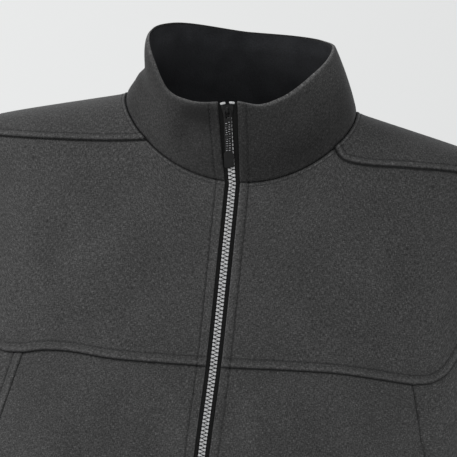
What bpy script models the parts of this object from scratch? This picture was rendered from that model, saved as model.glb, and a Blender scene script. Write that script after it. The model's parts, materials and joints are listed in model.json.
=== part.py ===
"""Softshell vest with a stand collar and a full front zip, filled out and hollow.

Metres, +Z up. The front faces -Y and the wearer's left is +X. The origin lies midway between the two
shoulders, at the height where they carry the cloth. Each cloth piece is a wall of even thickness on one
torso form, which is a stack of rounded rings, and the collar is lofted from the neck seam to its top edge.
"""

import math
from collections import namedtuple

import bmesh
import bpy
import numpy as np
from mathutils import Matrix, Vector

# Driving dimensions
NECK_POINT_HEIGHT = 0.020  # where the shoulder ridge meets the collar
NECK_HALF_WIDTH = 0.1005
FRONT_NECK_DROP = 0.0605
BACK_NECK_DROP = 0.012
NECK_CURVE = 1.42  # how late the neckline turns down towards the middle
SHOULDER_SLOPE = math.radians(13.3)
SHOULDER_ROUNDING = 12.0  # the higher, the sharper the corner from shoulder to side
BODY_LENGTH = 0.700  # from the neck point to the hem
ARMHOLE_DEPTH = 0.262
RING_SQUARENESS = 2.3  # 2 is an ellipse
WALL = 0.0020  # bonded softshell
SEAM_GAP = 0.0003
ZIP_HALF_GAP = 0.0065  # from the middle of the zip to the folded front edge

HEM_HEIGHT = NECK_POINT_HEIGHT - BODY_LENGTH
ARMPIT_HEIGHT = NECK_POINT_HEIGHT - ARMHOLE_DEPTH

# Torso rings, from the hem up: half-width at the side, and depth in front of and behind the side seam
Ring = namedtuple("Ring", "height side front back")
RINGS = (
    Ring(-0.680, 0.238, 0.114, 0.106),
    Ring(-0.560, 0.235, 0.115, 0.101),
    Ring(-0.420, 0.233, 0.117, 0.098),
    Ring(-0.300, 0.234, 0.119, 0.103),
    Ring(-0.240, 0.236, 0.120, 0.108),
    Ring(-0.188, 0.237, 0.117, 0.111),
    Ring(-0.130, 0.237, 0.107, 0.108),
    Ring(-0.080, 0.237, 0.093, 0.097),
    Ring(-0.036, 0.237, 0.075, 0.078),
    Ring(0.008, 0.237, 0.050, 0.055),
    Ring(0.040, 0.237, 0.034, 0.044),
)

# Seams on the front, on each side of the wearer, from the inner end to the outer one. The two sides lie a
# little unlike, as the vest hangs. Each point has its distance from the middle and its height
SeamPoint = namedtuple("SeamPoint", "across height")
SHOULDER_SEAM_START = {"left": 0.0838, "right": 0.0768}  # on the neck seam
SHOULDER_SEAM = {
    "left": (
        SeamPoint(0.0870, -0.0108),
        SeamPoint(0.0934, -0.0156),
        SeamPoint(0.1010, -0.0170),
        SeamPoint(0.1404, -0.0178),
        SeamPoint(0.1892, -0.0192),
    ),
    "right": (
        SeamPoint(0.1015, -0.0153),
        SeamPoint(0.1509, -0.0189),
        SeamPoint(0.1900, -0.0212),
    ),
}
CHEST_SEAM_HEIGHT = -0.1920  # at the zip
CHEST_SEAM = {
    "left": (
        SeamPoint(0.0593, -0.1900),
        SeamPoint(0.1079, -0.1903),
        SeamPoint(0.1385, -0.1935),
        SeamPoint(0.1670, -0.1972),
        SeamPoint(0.1844, -0.1951),
        SeamPoint(0.1942, -0.1890),
        SeamPoint(0.2026, -0.1761),
    ),
    "right": (
        SeamPoint(0.0366, -0.1926),
        SeamPoint(0.0894, -0.1936),
        SeamPoint(0.1300, -0.1922),
        SeamPoint(0.1471, -0.1940),
        SeamPoint(0.1655, -0.1990),
        SeamPoint(0.1868, -0.1995),
        SeamPoint(0.2010, -0.1870),
    ),
}
PRINCESS_SEAM = {
    "left": (
        SeamPoint(0.1670, -0.1972),
        SeamPoint(0.1730, -0.2220),
        SeamPoint(0.1828, -0.2600),
        SeamPoint(0.1900, -0.3200),
        SeamPoint(0.1945, -0.4300),
        SeamPoint(0.1950, HEM_HEIGHT),
    ),
    "right": (
        SeamPoint(0.1655, -0.1990),
        SeamPoint(0.1734, -0.2282),
        SeamPoint(0.1815, -0.2586),
        SeamPoint(0.1895, -0.3200),
        SeamPoint(0.1945, -0.4300),
        SeamPoint(0.1950, HEM_HEIGHT),
    ),
}
# The zip's middle sways to the wearer's right as it runs down
ZIP_MIDDLE = (
    SeamPoint(-0.0075, HEM_HEIGHT),
    SeamPoint(-0.0075, -0.3600),
    SeamPoint(-0.0055, -0.2690),
    SeamPoint(-0.0017, -0.1910),
    SeamPoint(0.0000, -0.0900),
    SeamPoint(0.0000, 0.1000),
)

# Armhole edge seen from the side, from the armpit up: distance from the side seam's plane and height
EdgePoint = namedtuple("EdgePoint", "off height")
FRONT_ARMHOLE = (
    EdgePoint(0.0000, ARMPIT_HEIGHT),
    EdgePoint(0.0260, -0.2330),
    EdgePoint(0.0460, -0.2120),
    EdgePoint(0.0570, -0.1850),
    EdgePoint(0.0605, -0.1580),
    EdgePoint(0.0565, -0.1100),
    EdgePoint(0.0460, -0.0600),
    EdgePoint(0.0325, -0.0225),
)
BACK_ARMHOLE = (
    EdgePoint(0.0000, ARMPIT_HEIGHT),
    EdgePoint(0.0260, -0.2335),
    EdgePoint(0.0460, -0.2130),
    EdgePoint(0.0580, -0.1850),
    EdgePoint(0.0615, -0.1580),
    EdgePoint(0.0585, -0.1100),
    EdgePoint(0.0480, -0.0600),
    EdgePoint(0.0340, -0.0250),
)
CHEST_SEAM_END = FRONT_ARMHOLE[4]
SHOULDER_SEAM_END = FRONT_ARMHOLE[-1]
RIDGE_END = 0.2175  # how far out the armhole crosses the shoulder ridge
BACK_JOIN = BACK_ARMHOLE[5]  # where the shoulder part of the back runs into its lower part
BACK_TURN = math.radians(118)  # round the neck seam from the middle front, where its shoulder part ends
SEAM_LEAN = (1.0, 0.6, 0.25)  # how far the back's first columns follow the curve of the shoulder seam

# Soft drapes in the lower body: place round the body (0 front, 180 back, + is the wearer's left), size, depth
Drape = namedtuple("Drape", "angle height half_angle half_height depth")
DRAPES = (
    Drape(62, -0.560, 13, 0.150, -0.0050),
    Drape(-58, -0.520, 12, 0.140, -0.0055),
    Drape(84, -0.420, 10, 0.120, 0.0040),
    Drape(-82, -0.440, 11, 0.130, 0.0040),
    Drape(118, -0.480, 15, 0.170, -0.0060),
    Drape(-124, -0.450, 15, 0.180, -0.0055),
    Drape(150, -0.540, 14, 0.150, 0.0045),
    Drape(-152, -0.560, 15, 0.150, 0.0045),
    Drape(180, -0.400, 16, 0.170, -0.0045),
)

# Collar, by the angle from the middle front (+ is the wearer's left): height of its top edge
COLLAR_FRONT_HEIGHT = 0.0690  # along the zip
COLLAR_TOP_HALF_WIDTH = 0.0820
COLLAR_TOP_FRONT = 0.0660
COLLAR_TOP_BACK = 0.0520
COLLAR_TOP_ZIP_HALF_GAP = 0.0085
COLLAR_LEAN = -0.0055  # the top edge stands this far to the wearer's right
COLLAR_TWIST = math.radians(-4.1)  # and is turned this far round
COLLAR_BULGE = 0.0020
CollarTop = namedtuple("CollarTop", "angle height")
COLLAR_TOP = (
    CollarTop(-180, 0.0798),
    CollarTop(-125, 0.0826),
    CollarTop(-90, 0.0735),
    CollarTop(-58, 0.0520),
    CollarTop(-40, 0.0304),
    CollarTop(-26, 0.0245),
    CollarTop(-4, 0.0263),
    CollarTop(6, 0.0278),
    CollarTop(20, 0.0262),
    CollarTop(34, 0.0328),
    CollarTop(62, 0.0581),
    CollarTop(90, 0.0755),
    CollarTop(120, 0.0800),
    CollarTop(180, 0.0798),
)
# Rolls in the collar: angle, share of the height, half sizes and depth
ROLL_HOLD = 0.5  # how soon a roll rises from the seam and from the top edge
Roll = namedtuple("Roll", "angle share half_angle half_share depth")
COLLAR_ROLLS = (
    Roll(-104, 0.50, 46, 0.34, -0.0120),
    Roll(-98, 0.35, 34, 0.09, 0.0022),
    Roll(36, 0.80, 22, 0.30, -0.0025),
    Roll(150, 0.45, 30, 0.40, -0.0020),
)
FACING_WALL = 0.0015
FACING_SETBACK = 0.0165  # from the middle of the zip to the facing's front edge
FACING_TOP_SHARE = 0.985

# Zip
TAPE_WALL = 0.0010
TAPE_INNER = 0.0015
TAPE_OUTER = 0.0150
TAPE_TOP_SETBACK = 0.0006
CHAIN_HALF_WIDTH = 0.0029
CHAIN_HEIGHT = 0.0020
SLIDER_SETBACK = 0.0086  # from the collar's top edge down to the slider's middle
SLIDER_LENGTH = 0.0110
SLIDER_TOP_WIDTH = 0.0105
SLIDER_FOOT_WIDTH = 0.0078
SLIDER_PLATE = 0.0030
SLIDER_BEVEL = 0.0006
SLIDER_BACK_PLATE = 0.0010
SLIDER_BACK_CLEARANCE = 0.0006  # the tapes curve back with the collar
SLIDER_POST_WIDTH = 0.0020
SLIDER_POST_LENGTH = 0.0040
CROWN_WIDTH = 0.0020
CROWN_RADIUS = 0.0031
CROWN_EYE_RADIUS = 0.0017
PIVOT_HEIGHT = 0.0024  # above the slider's front face
PULL_LENGTH = 0.0485  # below the pivot
PULL_WIDTH = 0.0064
PULL_FOOT_WIDTH = 0.0083
PULL_FOOT_LENGTH = 0.0125
PULL_THICKNESS = 0.0018
PULL_BEVEL = 0.0005
PULL_WINDOW_HALF_WIDTH = 0.0016
PULL_WINDOW_LENGTH = 0.0056
PULL_BAR = 0.0016
PULL_REST_TILT = math.radians(2.4)  # the tab's foot lies on the teeth
PULL_REST_LEAN = math.radians(-1.5)  # and hangs a little to the wearer's right
STOP_INNER = 0.0016
STOP_WIDTH = 0.0046
STOP_LENGTH = 0.0022
STOP_HEIGHT = 0.0024
STOP_GAP = 0.0005
STOP_BEVEL = 0.0004
BOX_SETBACK = 0.0010
BOX_LENGTH = 0.0120
BOX_WIDTH = 0.0096
BOX_HEIGHT = 0.0032

# Rows and columns of the cloth grids
NECK_FRONT_COLUMNS = 6
SHOULDER_COLUMNS = 7
CHEST_INNER_COLUMNS = 9
CHEST_OUTER_COLUMNS = 4
CHEST_ROWS = 8
BODY_ROWS = 16
SIDE_ARMHOLE_COLUMNS = 7
SHOULDER_ARCH_COLUMNS = 10
BACK_COLUMNS = 20
BACK_ARMHOLE_COLUMNS = 8
COLLAR_ROWS = 6

# Fineness of the curves and of what is worked out along them
CURVE_SAMPLES = 400
RIDGE_HALVINGS = 50
SMALL_HEIGHT = 1e-4
SMALL_TURN = 1e-3
SMALL_RUN = 0.002
ROUND_SEGMENTS = 24
BEVEL_SEGMENTS = 2
SHARP_ANGLE = math.radians(40)


# Curves through a few points


def smooth_through(places, values, at):
    """Values read from a smooth curve through (places, values), which are in rising order of place."""
    places = np.asarray(places, float)
    values = np.asarray(values, float)
    steps = np.diff(places)
    slopes = np.diff(values) / steps
    tangents = np.empty_like(values)
    tangents[0], tangents[-1] = slopes[0], slopes[-1]
    weights = steps[:-1] + steps[1:]
    tangents[1:-1] = (slopes[:-1] * steps[1:] + slopes[1:] * steps[:-1]) / weights
    at = np.clip(np.asarray(at, float), places[0], places[-1])
    i = np.clip(np.searchsorted(places, at, side="right") - 1, 0, len(places) - 2)
    step = steps[i]
    t = (at - places[i]) / step
    return (
        (2 * t**3 - 3 * t**2 + 1) * values[i]
        + (t**3 - 2 * t**2 + t) * step * tangents[i]
        + (3 * t**2 - 2 * t**3) * values[i + 1]
        + (t**3 - t**2) * step * tangents[i + 1]
    )


def evenly_along(points, count):
    """count + 1 points at even spacing along a smooth curve through the given flat points."""
    points = np.asarray(points, float)
    chord = np.concatenate([[0], np.cumsum(np.linalg.norm(np.diff(points, axis=0), axis=1))])
    fine = np.linspace(0, chord[-1], CURVE_SAMPLES)
    curve = np.stack([smooth_through(chord, points[:, k], fine) for k in range(2)], axis=1)
    length = np.concatenate([[0], np.cumsum(np.linalg.norm(np.diff(curve, axis=0), axis=1))])
    at = np.linspace(0, length[-1], count + 1)
    return np.stack([np.interp(at, length, curve[:, k]) for k in range(2)], axis=1)


def split_at(points, place):
    """The points up to the one at this place, and from it on."""
    found = [i for i, point in enumerate(points) if tuple(point) == tuple(place)][0]
    return points[: found + 1], points[found:]


# Torso form


def ring_value(column, height):
    heights = [ring.height for ring in RINGS]
    return smooth_through(heights, [getattr(ring, column) for ring in RINGS], height)


def reach(height):
    """Half-width of the torso at this height: the shoulder line above, rounding into the side below."""
    height = np.asarray(height, float)
    line = NECK_HALF_WIDTH + (NECK_POINT_HEIGHT - height) / math.tan(SHOULDER_SLOPE)
    side = ring_value("side", height)
    k = SHOULDER_ROUNDING
    return (np.maximum(line, SMALL_HEIGHT) ** -k + side**-k) ** (-1 / k)


def ridge_height(across):
    """Height of the shoulder ridge at this distance from the middle."""
    low = np.full_like(np.asarray(across, float), ARMPIT_HEIGHT)
    high = np.full_like(low, NECK_POINT_HEIGHT + NECK_HALF_WIDTH * math.tan(SHOULDER_SLOPE))
    for _ in range(RIDGE_HALVINGS):
        middle = (low + high) / 2
        wide = reach(middle) > across
        low = np.where(wide, middle, low)
        high = np.where(wide, high, middle)
    return (low + high) / 2


def depth(height, behind):
    return np.where(behind, ring_value("back", height), ring_value("front", height))


def drape_depth(angle, height):
    """How far the soft drapes move the cloth out at this place round the body."""
    moved = np.zeros_like(height)
    for drape in DRAPES:
        off = (np.degrees(angle) - drape.angle + 180) % 360 - 180
        bell = (off / drape.half_angle) ** 2 + ((height - drape.height) / drape.half_height) ** 2
        moved += drape.depth * np.exp(-bell)
    return moved


def torso(angle, height, inward=0.0):
    """Points of the torso at an angle round it from the middle front, moved inward by a distance."""
    angle = np.asarray(angle, float)
    height = np.asarray(height, float)
    n = RING_SQUARENESS
    behind = np.cos(angle) < 0
    a, b = reach(height), depth(height, behind)
    side = np.sign(np.sin(angle))
    front = np.where(behind, 1.0, -1.0)
    x_share = np.abs(np.sin(angle)) ** (2 / n)
    y_share = np.abs(np.cos(angle)) ** (2 / n)
    step = SMALL_HEIGHT
    a_slope = (reach(height + step) - reach(height - step)) / (2 * step)
    b_slope = (depth(height + step, behind) - depth(height - step, behind)) / (2 * step)
    normal = np.stack(
        [
            side * x_share ** (n - 1) / a,
            front * y_share ** (n - 1) / b,
            -(x_share**n) * a_slope / a - (y_share**n) * b_slope / b,
        ],
        axis=-1,
    )
    normal /= np.linalg.norm(normal, axis=-1, keepdims=True)
    point = np.stack([side * a * x_share, front * b * y_share, height], axis=-1)
    return point + normal * (drape_depth(angle, height) - inward)[..., None]


def angle_at(across, height, behind=False):
    """The angle round the torso at a distance from the middle."""
    share = np.clip(np.abs(across) / reach(height), 0, 1)
    side = np.where(np.asarray(across) < 0, -1, 1)
    angle = side * np.arcsin(share ** (RING_SQUARENESS / 2))
    return np.where(behind, side * math.pi - angle, angle)


def edge_angle(off, height, behind=False):
    """The angle round the torso on the wearer's left at a distance off the side seam's plane."""
    share = np.clip(np.asarray(off) / depth(height, behind), 0, 1)
    angle = np.arccos(share ** (RING_SQUARENESS / 2))
    return np.where(behind, math.pi - angle, angle)


# Seam lines on the +X side, as (angle, height) unless they say otherwise


def neckline(turn):
    """(across, height) of the neck seam at a turn from the middle front, and whether it is behind."""
    turn = np.asarray(turn, float)
    drop = np.where(np.cos(turn) > 0, FRONT_NECK_DROP, BACK_NECK_DROP)
    height = NECK_POINT_HEIGHT - drop * np.abs(np.cos(turn)) ** NECK_CURVE
    return NECK_HALF_WIDTH * np.sin(turn), height, np.cos(turn) < 0


SIDES = {"left": 1, "right": -1}
ZIP_TURN = math.asin(ZIP_HALF_GAP / NECK_HALF_WIDTH)
TAPE_TURN = math.asin(TAPE_OUTER / NECK_HALF_WIDTH)
BACK_TURNS = np.linspace(BACK_TURN, 2 * math.pi - BACK_TURN, BACK_COLUMNS + 1)


def front_turns(side):
    """Columns of the neck seam from the zip to the shoulder seam."""
    end = math.asin(SHOULDER_SEAM_START[side] / NECK_HALF_WIDTH)
    return np.append(ZIP_TURN, np.linspace(TAPE_TURN, end, NECK_FRONT_COLUMNS))


def arch_turns(side):
    """Columns of the neck seam from the shoulder seam over to the back."""
    return np.linspace(front_turns(side)[-1], BACK_TURN, SHOULDER_ARCH_COLUMNS + 1)


def zip_middle(height):
    heights = [point.height for point in ZIP_MIDDLE]
    return smooth_through(heights, [point.across for point in ZIP_MIDDLE], height)


def arch_place(across, height, behind):
    """(across, arch) of a torso point: the arch is the root of its drop below the ridge, minus in front."""
    drop = np.maximum(ridge_height(np.abs(across)) - height, 0)
    return np.stack([across, np.sqrt(drop) * np.where(behind, 1, -1)], axis=-1)


def arch_angle_height(place):
    """(angle, height) of an (across, arch) place."""
    across, arch = place[..., 0], place[..., 1]
    height = ridge_height(np.abs(across)) - arch**2
    return angle_at(across, height, arch > 0), height


def blend(bottom, top, left, right):
    """A flat grid [column][row] between four edge lines, whose corners are shared."""
    columns, rows = len(bottom) - 1, len(left) - 1
    u = np.linspace(0, 1, columns + 1)[:, None, None]
    v = np.linspace(0, 1, rows + 1)[None, :, None]
    across = (1 - v) * bottom[:, None] + v * top[:, None]
    along = (1 - u) * left[None] + u * right[None]
    corners = (
        (1 - u) * (1 - v) * bottom[0]
        + u * (1 - v) * bottom[-1]
        + (1 - u) * v * top[0]
        + u * v * top[-1]
    )
    return across + along - corners


# Cloth walls from grids


def grid_line(points, edge, step=0):
    """One edge line of a grid, or a line some steps in from that edge."""
    if edge == "left":
        return points[step]
    if edge == "right":
        return points[-1 - step]
    if edge == "bottom":
        return points[:, step]
    return points[:, -1 - step]


def parted(points, edges):
    """The grid with the named edges drawn back by half a seam gap, square to each edge."""
    moved = points.copy()
    for edge, rows in edges:
        line = grid_line(points, edge)
        run = np.gradient(line, axis=0)
        run /= np.linalg.norm(run, axis=-1, keepdims=True)
        back = grid_line(points, edge, 1) - line
        back -= (back * run).sum(-1, keepdims=True) * run
        back /= np.linalg.norm(back, axis=-1, keepdims=True)
        grid_line(moved, edge)[rows] += back[rows] * SEAM_GAP / 2
    return moved


ALL = slice(None)


def wall_grids(surface, places, thickness, edges, lift=0.0):
    """Outer and inner points of a wall on a surface, each edge that meets another piece drawn back."""
    outer = surface(places[..., 0], places[..., 1], lift)
    inner = surface(places[..., 0], places[..., 1], lift + thickness)
    return parted(outer, edges), parted(inner, edges)


def finished(name, bm):
    mesh = bpy.data.meshes.new(name)
    bm.to_mesh(mesh)
    bm.free()
    return mesh


def cloth(name, grids, material):
    """One closed wall from grids of outer and inner points. Grids that share an edge are joined there."""
    bm = bmesh.new()
    number = bm.verts.layers.int.new("number")
    inner_points = []
    for outer, inner in grids:
        columns, rows = outer.shape[0] - 1, outer.shape[1] - 1
        made = bmesh.ops.create_grid(bm, x_segments=columns, y_segments=rows, size=1)["verts"]
        for vert in made:
            i = round((vert.co.x + 1) / 2 * columns)
            j = round((vert.co.y + 1) / 2 * rows)
            vert[number] = len(inner_points)
            vert.co = outer[i, j]
            inner_points.append(inner[i, j])
    bmesh.ops.remove_doubles(bm, verts=bm.verts[:], dist=SEAM_GAP / 10)
    lining = bmesh.ops.extrude_face_region(bm, geom=bm.faces[:], use_keep_orig=True)["geom"]
    for element in lining:
        if isinstance(element, bmesh.types.BMVert):
            element.co = inner_points[element[number]]
    bmesh.ops.recalc_face_normals(bm, faces=bm.faces[:])
    mesh = finished(name, bm)
    mesh.shade_smooth()
    mesh.set_sharp_from_angle(angle=SHARP_ANGLE)
    return placed(name, mesh, material)


def placed(name, mesh, material, frame=Matrix()):
    mesh.materials.append(material)
    made = bpy.data.objects.new(name, mesh)
    made.matrix_world = frame
    VEST.objects.link(made)
    return made


def mirrored(places):
    """The same places on the wearer's right."""
    return np.stack([-places[..., 0], places[..., 1]], axis=-1)


def sided(side, places):
    return places if side == "left" else mirrored(places)


def as_angles(flat, behind=False):
    """(angle, height) of (across, height) places."""
    return np.stack([angle_at(flat[..., 0], flat[..., 1], behind), flat[..., 1]], axis=-1)


def front_edge(side, top, bottom, rows):
    """The folded edge beside the zip, from the lower height to the upper one."""
    heights = np.linspace(bottom, top, rows + 1)
    return np.stack([ZIP_HALF_GAP + SIDES[side] * zip_middle(heights), heights], axis=-1)


def edge_line(points, count, behind=False):
    """(angle, height) at even spacing along an edge given as seen from the side."""
    even = evenly_along(points, count)
    return np.stack([edge_angle(even[:, 0], even[:, 1], behind), even[:, 1]], axis=-1)


def edge_across(point, behind=False):
    """(across, height) of an edge point."""
    angle = edge_angle(point.off, point.height, behind)
    return float(torso(angle, point.height)[0]), point.height


def seam_lines(side):
    """The lines that two pieces share on one side of the wearer, each worked out once."""
    lines = {}
    corner = PRINCESS_SEAM[side][0]
    inner, outer = split_at(CHEST_SEAM[side], corner)
    start = front_edge(side, CHEST_SEAM_HEIGHT, CHEST_SEAM_HEIGHT, 1)[0]
    lines["chest_inner"] = evenly_along((start, *inner), CHEST_INNER_COLUMNS)
    lines["chest_outer"] = evenly_along((*outer, edge_across(CHEST_SEAM_END)), CHEST_OUTER_COLUMNS)
    lines["princess"] = as_angles(evenly_along(PRINCESS_SEAM[side], BODY_ROWS)[::-1])
    across, height, _ = neckline(front_turns(side))
    lines["neck_front"] = np.stack([across, height], axis=-1)
    start, end = lines["neck_front"][-1], edge_across(SHOULDER_SEAM_END)
    lines["shoulder"] = evenly_along((start, *SHOULDER_SEAM[side], end), SHOULDER_COLUMNS)
    lower, upper = split_at(FRONT_ARMHOLE, CHEST_SEAM_END)
    lines["armhole_side"] = edge_line(lower[::-1], SIDE_ARMHOLE_COLUMNS)
    lines["armhole_chest"] = edge_line(upper, CHEST_ROWS)
    lower, upper = split_at(BACK_ARMHOLE, BACK_JOIN)
    lines["armhole_back"] = edge_line(lower, BACK_ARMHOLE_COLUMNS, True)
    over = [arch_place(*end, False), np.array([RIDGE_END, 0.0])]
    over += [arch_place(*edge_across(point, True), True) for point in upper[::-1]]
    lines["armhole_over"] = evenly_along(over, SHOULDER_ARCH_COLUMNS)
    return lines


def make_chest(side, lines, material):
    """Upper front, from the shoulder seam and collar down to the chest seam."""
    bottom = np.concatenate([lines["chest_inner"], lines["chest_outer"][1:]])
    top = np.concatenate([lines["neck_front"], lines["shoulder"][1:]])
    left = front_edge(side, top[0, 1], bottom[0, 1], CHEST_ROWS)
    edge = lines["armhole_chest"]
    right = np.stack([torso(edge[:, 0], edge[:, 1])[:, 0], edge[:, 1]], axis=-1)
    places = sided(side, as_angles(blend(bottom, top, left, right)))
    cloth(f"chest_{side}", [wall_grids(torso, places, WALL, [("bottom", ALL), ("top", ALL)])], material)


def make_lower_front(side, lines, material):
    """Front below the chest seam, from the zip to the princess seam."""
    top = as_angles(lines["chest_inner"])
    right = lines["princess"]
    left = as_angles(front_edge(side, top[0, 1], HEM_HEIGHT, BODY_ROWS))
    share = np.linspace(0, 1, CHEST_INNER_COLUMNS + 1)[:, None]
    bottom = (1 - share) * left[0] + share * right[0]
    places = sided(side, blend(bottom, top, left, right))
    cloth(f"front_{side}", [wall_grids(torso, places, WALL, [("top", ALL), ("right", ALL)])], material)


def side_seam(rows):
    heights = np.linspace(HEM_HEIGHT, ARMPIT_HEIGHT, rows + 1)
    return np.stack([np.full_like(heights, math.pi / 2), heights], axis=-1)


def make_side(side, lines, material):
    """Side panel, from the princess seam to the side seam, reaching up to the armhole."""
    top = np.concatenate([as_angles(lines["chest_outer"]), lines["armhole_side"][1:]])
    left = lines["princess"]
    right = side_seam(BODY_ROWS)
    share = np.linspace(0, 1, CHEST_OUTER_COLUMNS + SIDE_ARMHOLE_COLUMNS + 1)[:, None]
    bottom = (1 - share) * left[0] + share * right[0]
    places = sided(side, blend(bottom, top, left, right))
    edges = [("top", slice(0, CHEST_OUTER_COLUMNS + 1)), ("left", ALL), ("right", ALL)]
    cloth(f"side_{side}", [wall_grids(torso, places, WALL, edges)], material)


def full_turn(places):
    """Angles that run on past the middle back in place of jumping to minus a half turn."""
    angles = np.where(places[..., 0] < 0, places[..., 0] + 2 * math.pi, places[..., 0])
    return np.stack([angles, places[..., 1]], axis=-1)


def make_back(lines, material):
    """The back, in one piece with the shoulders, which come over the ridge to the front shoulder seams."""
    over = lines["left"]["armhole_over"]
    join_across = np.linspace(over[-1, 0], -over[-1, 0], BACK_COLUMNS + 1)
    join = arch_place(join_across, np.full_like(join_across, BACK_JOIN.height), True)
    outer = np.concatenate([over, join[1:-1], mirrored(over[::-1])])
    far_turns = 2 * math.pi - arch_turns("right")[::-1]
    turns = np.concatenate([arch_turns("left"), BACK_TURNS[1:-1], far_turns])
    inner = arch_place(*neckline(turns))
    spokes = np.linspace(0, 1, SHOULDER_COLUMNS + 1)[None, :, None]
    shoulder_places = (1 - spokes) * inner[:, None] + spokes * outer[:, None]
    # The first few spokes on each side lean over to the shoulder seam's own curve
    for side, columns in (("left", (0, 1, 2)), ("right", (-1, -2, -3))):
        seam = sided(side, np.stack([arch_place(*point, False) for point in lines[side]["shoulder"]]))
        bend = seam - ((1 - spokes[0]) * seam[0] + spokes[0] * seam[-1])
        for column, share in zip(columns, SEAM_LEAN):
            shoulder_places[column] += share * bend
    angle, height = arch_angle_height(shoulder_places)
    shoulders = np.stack([angle, height], axis=-1)

    edge = lines["left"]["armhole_back"]
    far_edge = np.stack([2 * math.pi - edge[::-1, 0], edge[::-1, 1]], axis=-1)
    middle = full_turn(np.stack(arch_angle_height(join), axis=-1))
    top = np.concatenate([edge, middle[1:-1], far_edge])
    left = side_seam(BODY_ROWS)
    right = np.stack([2 * math.pi - left[:, 0], left[:, 1]], axis=-1)
    share = np.linspace(0, 1, len(top))[:, None]
    bottom = (1 - share) * left[0] + share * right[0]
    body = blend(bottom, top, left, right)

    body_grids = wall_grids(torso, body, WALL, [("left", ALL), ("right", ALL)])
    shoulder_edges = [("left", ALL), ("right", ALL), ("bottom", ALL)]
    shoulder_grids = wall_grids(torso, shoulders, WALL, shoulder_edges)
    joined = slice(SHOULDER_ARCH_COLUMNS, SHOULDER_ARCH_COLUMNS + BACK_COLUMNS + 1)
    body_joined = slice(BACK_ARMHOLE_COLUMNS, BACK_ARMHOLE_COLUMNS + BACK_COLUMNS + 1)
    for shoulder_points, body_points in zip(shoulder_grids, body_grids):
        shoulder_points[joined, -1] = body_points[body_joined, -1]
    cloth("back", [body_grids, shoulder_grids], material)


# Collar


def collar_sheet(turn, share):
    """Points of the collar's outer face at a turn from the middle front and a share of its height."""
    turn, share = np.asarray(turn, float), np.asarray(share, float)
    across, base_height, behind = neckline(turn)
    base = torso(angle_at(across, base_height, behind), base_height)
    top_zip_turn = math.asin(COLLAR_TOP_ZIP_HALF_GAP / COLLAR_TOP_HALF_WIDTH)
    size = np.abs(np.where(turn > math.pi, turn - 2 * math.pi, turn))
    run = np.maximum(size - ZIP_TURN, 0) / (math.pi - ZIP_TURN)
    near_zip = np.minimum(size / ZIP_TURN, 1)
    top_turn = near_zip * (top_zip_turn + run * (math.pi - top_zip_turn))
    top_turn = top_turn * np.where(np.sin(turn) < 0, -1, 1)
    top_depth = np.where(np.cos(top_turn) > 0, COLLAR_TOP_FRONT, COLLAR_TOP_BACK)
    across = COLLAR_TOP_HALF_WIDTH * np.sin(top_turn)
    off = -top_depth * np.cos(top_turn)
    angles = [row.angle for row in COLLAR_TOP]
    heights = [row.height for row in COLLAR_TOP]
    cosine, sine = math.cos(COLLAR_TWIST), math.sin(COLLAR_TWIST)
    top = np.stack(
        [
            cosine * across - sine * off + COLLAR_LEAN,
            sine * across + cosine * off,
            smooth_through(angles, heights, np.degrees(top_turn)),
        ],
        axis=-1,
    )
    out = np.stack([np.sin(turn), -np.cos(turn), np.zeros_like(turn)], axis=-1)
    bulge = COLLAR_BULGE * 4 * share * (1 - share)
    signed = np.degrees(np.where(turn > math.pi, turn - 2 * math.pi, turn))
    for roll in COLLAR_ROLLS:
        off = (signed - roll.angle + 180) % 360 - 180
        bell = (off / roll.half_angle) ** 2 + ((share - roll.share) / roll.half_share) ** 2
        held = np.sin(math.pi * np.clip(share, 0, 1)) ** ROLL_HOLD
        bulge = bulge + roll.depth * np.exp(-bell) * held
    share = share[..., None]
    return (1 - share) * base + share * top + out * bulge[..., None]


def collar(turn, share, inward=0.0):
    """Points of the collar moved inward from its outer face."""
    turn, share = np.asarray(turn, float), np.asarray(share, float)
    step = SMALL_TURN
    point = collar_sheet(turn, share)
    along = collar_sheet(turn + step, share) - collar_sheet(turn - step, share)
    up = collar_sheet(turn, share + step) - collar_sheet(turn, share - step)
    normal = np.cross(along, up)
    normal /= np.linalg.norm(normal, axis=-1, keepdims=True)
    return point - normal * np.asarray(inward)[..., None]


def collar_places(turns, low, high):
    shares = np.linspace(low, high, COLLAR_ROWS + 1)
    return np.stack(np.meshgrid(turns, shares, indexing="ij"), axis=-1)


def collar_turns(first):
    """The neck seam's own columns, from the first turn round to the other side of the zip."""
    halves = {}
    for side in SIDES:
        turns = np.concatenate([front_turns(side), arch_turns(side)[1:]])
        halves[side] = np.concatenate([[first], turns[turns > first + 10 * SMALL_TURN]])
    return np.concatenate([halves["left"], BACK_TURNS[1:-1], 2 * math.pi - halves["right"][::-1]])


def make_collar(cloth_material, facing_material):
    turns = collar_turns(ZIP_TURN)
    seam_share = SEAM_GAP / 2 / COLLAR_FRONT_HEIGHT
    outer = collar_places(turns, seam_share, 1.0)
    cloth("collar", [wall_grids(collar, outer, WALL, [])], cloth_material)
    facing_turn = math.asin(FACING_SETBACK / NECK_HALF_WIDTH)
    facing = collar_places(collar_turns(facing_turn), seam_share, FACING_TOP_SHARE)
    lift = WALL + SEAM_GAP
    cloth("collar_facing", [wall_grids(collar, facing, FACING_WALL, [], lift)], facing_material)


# Zip


NECK_HEIGHT = float(neckline(ZIP_TURN)[1])


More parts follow.
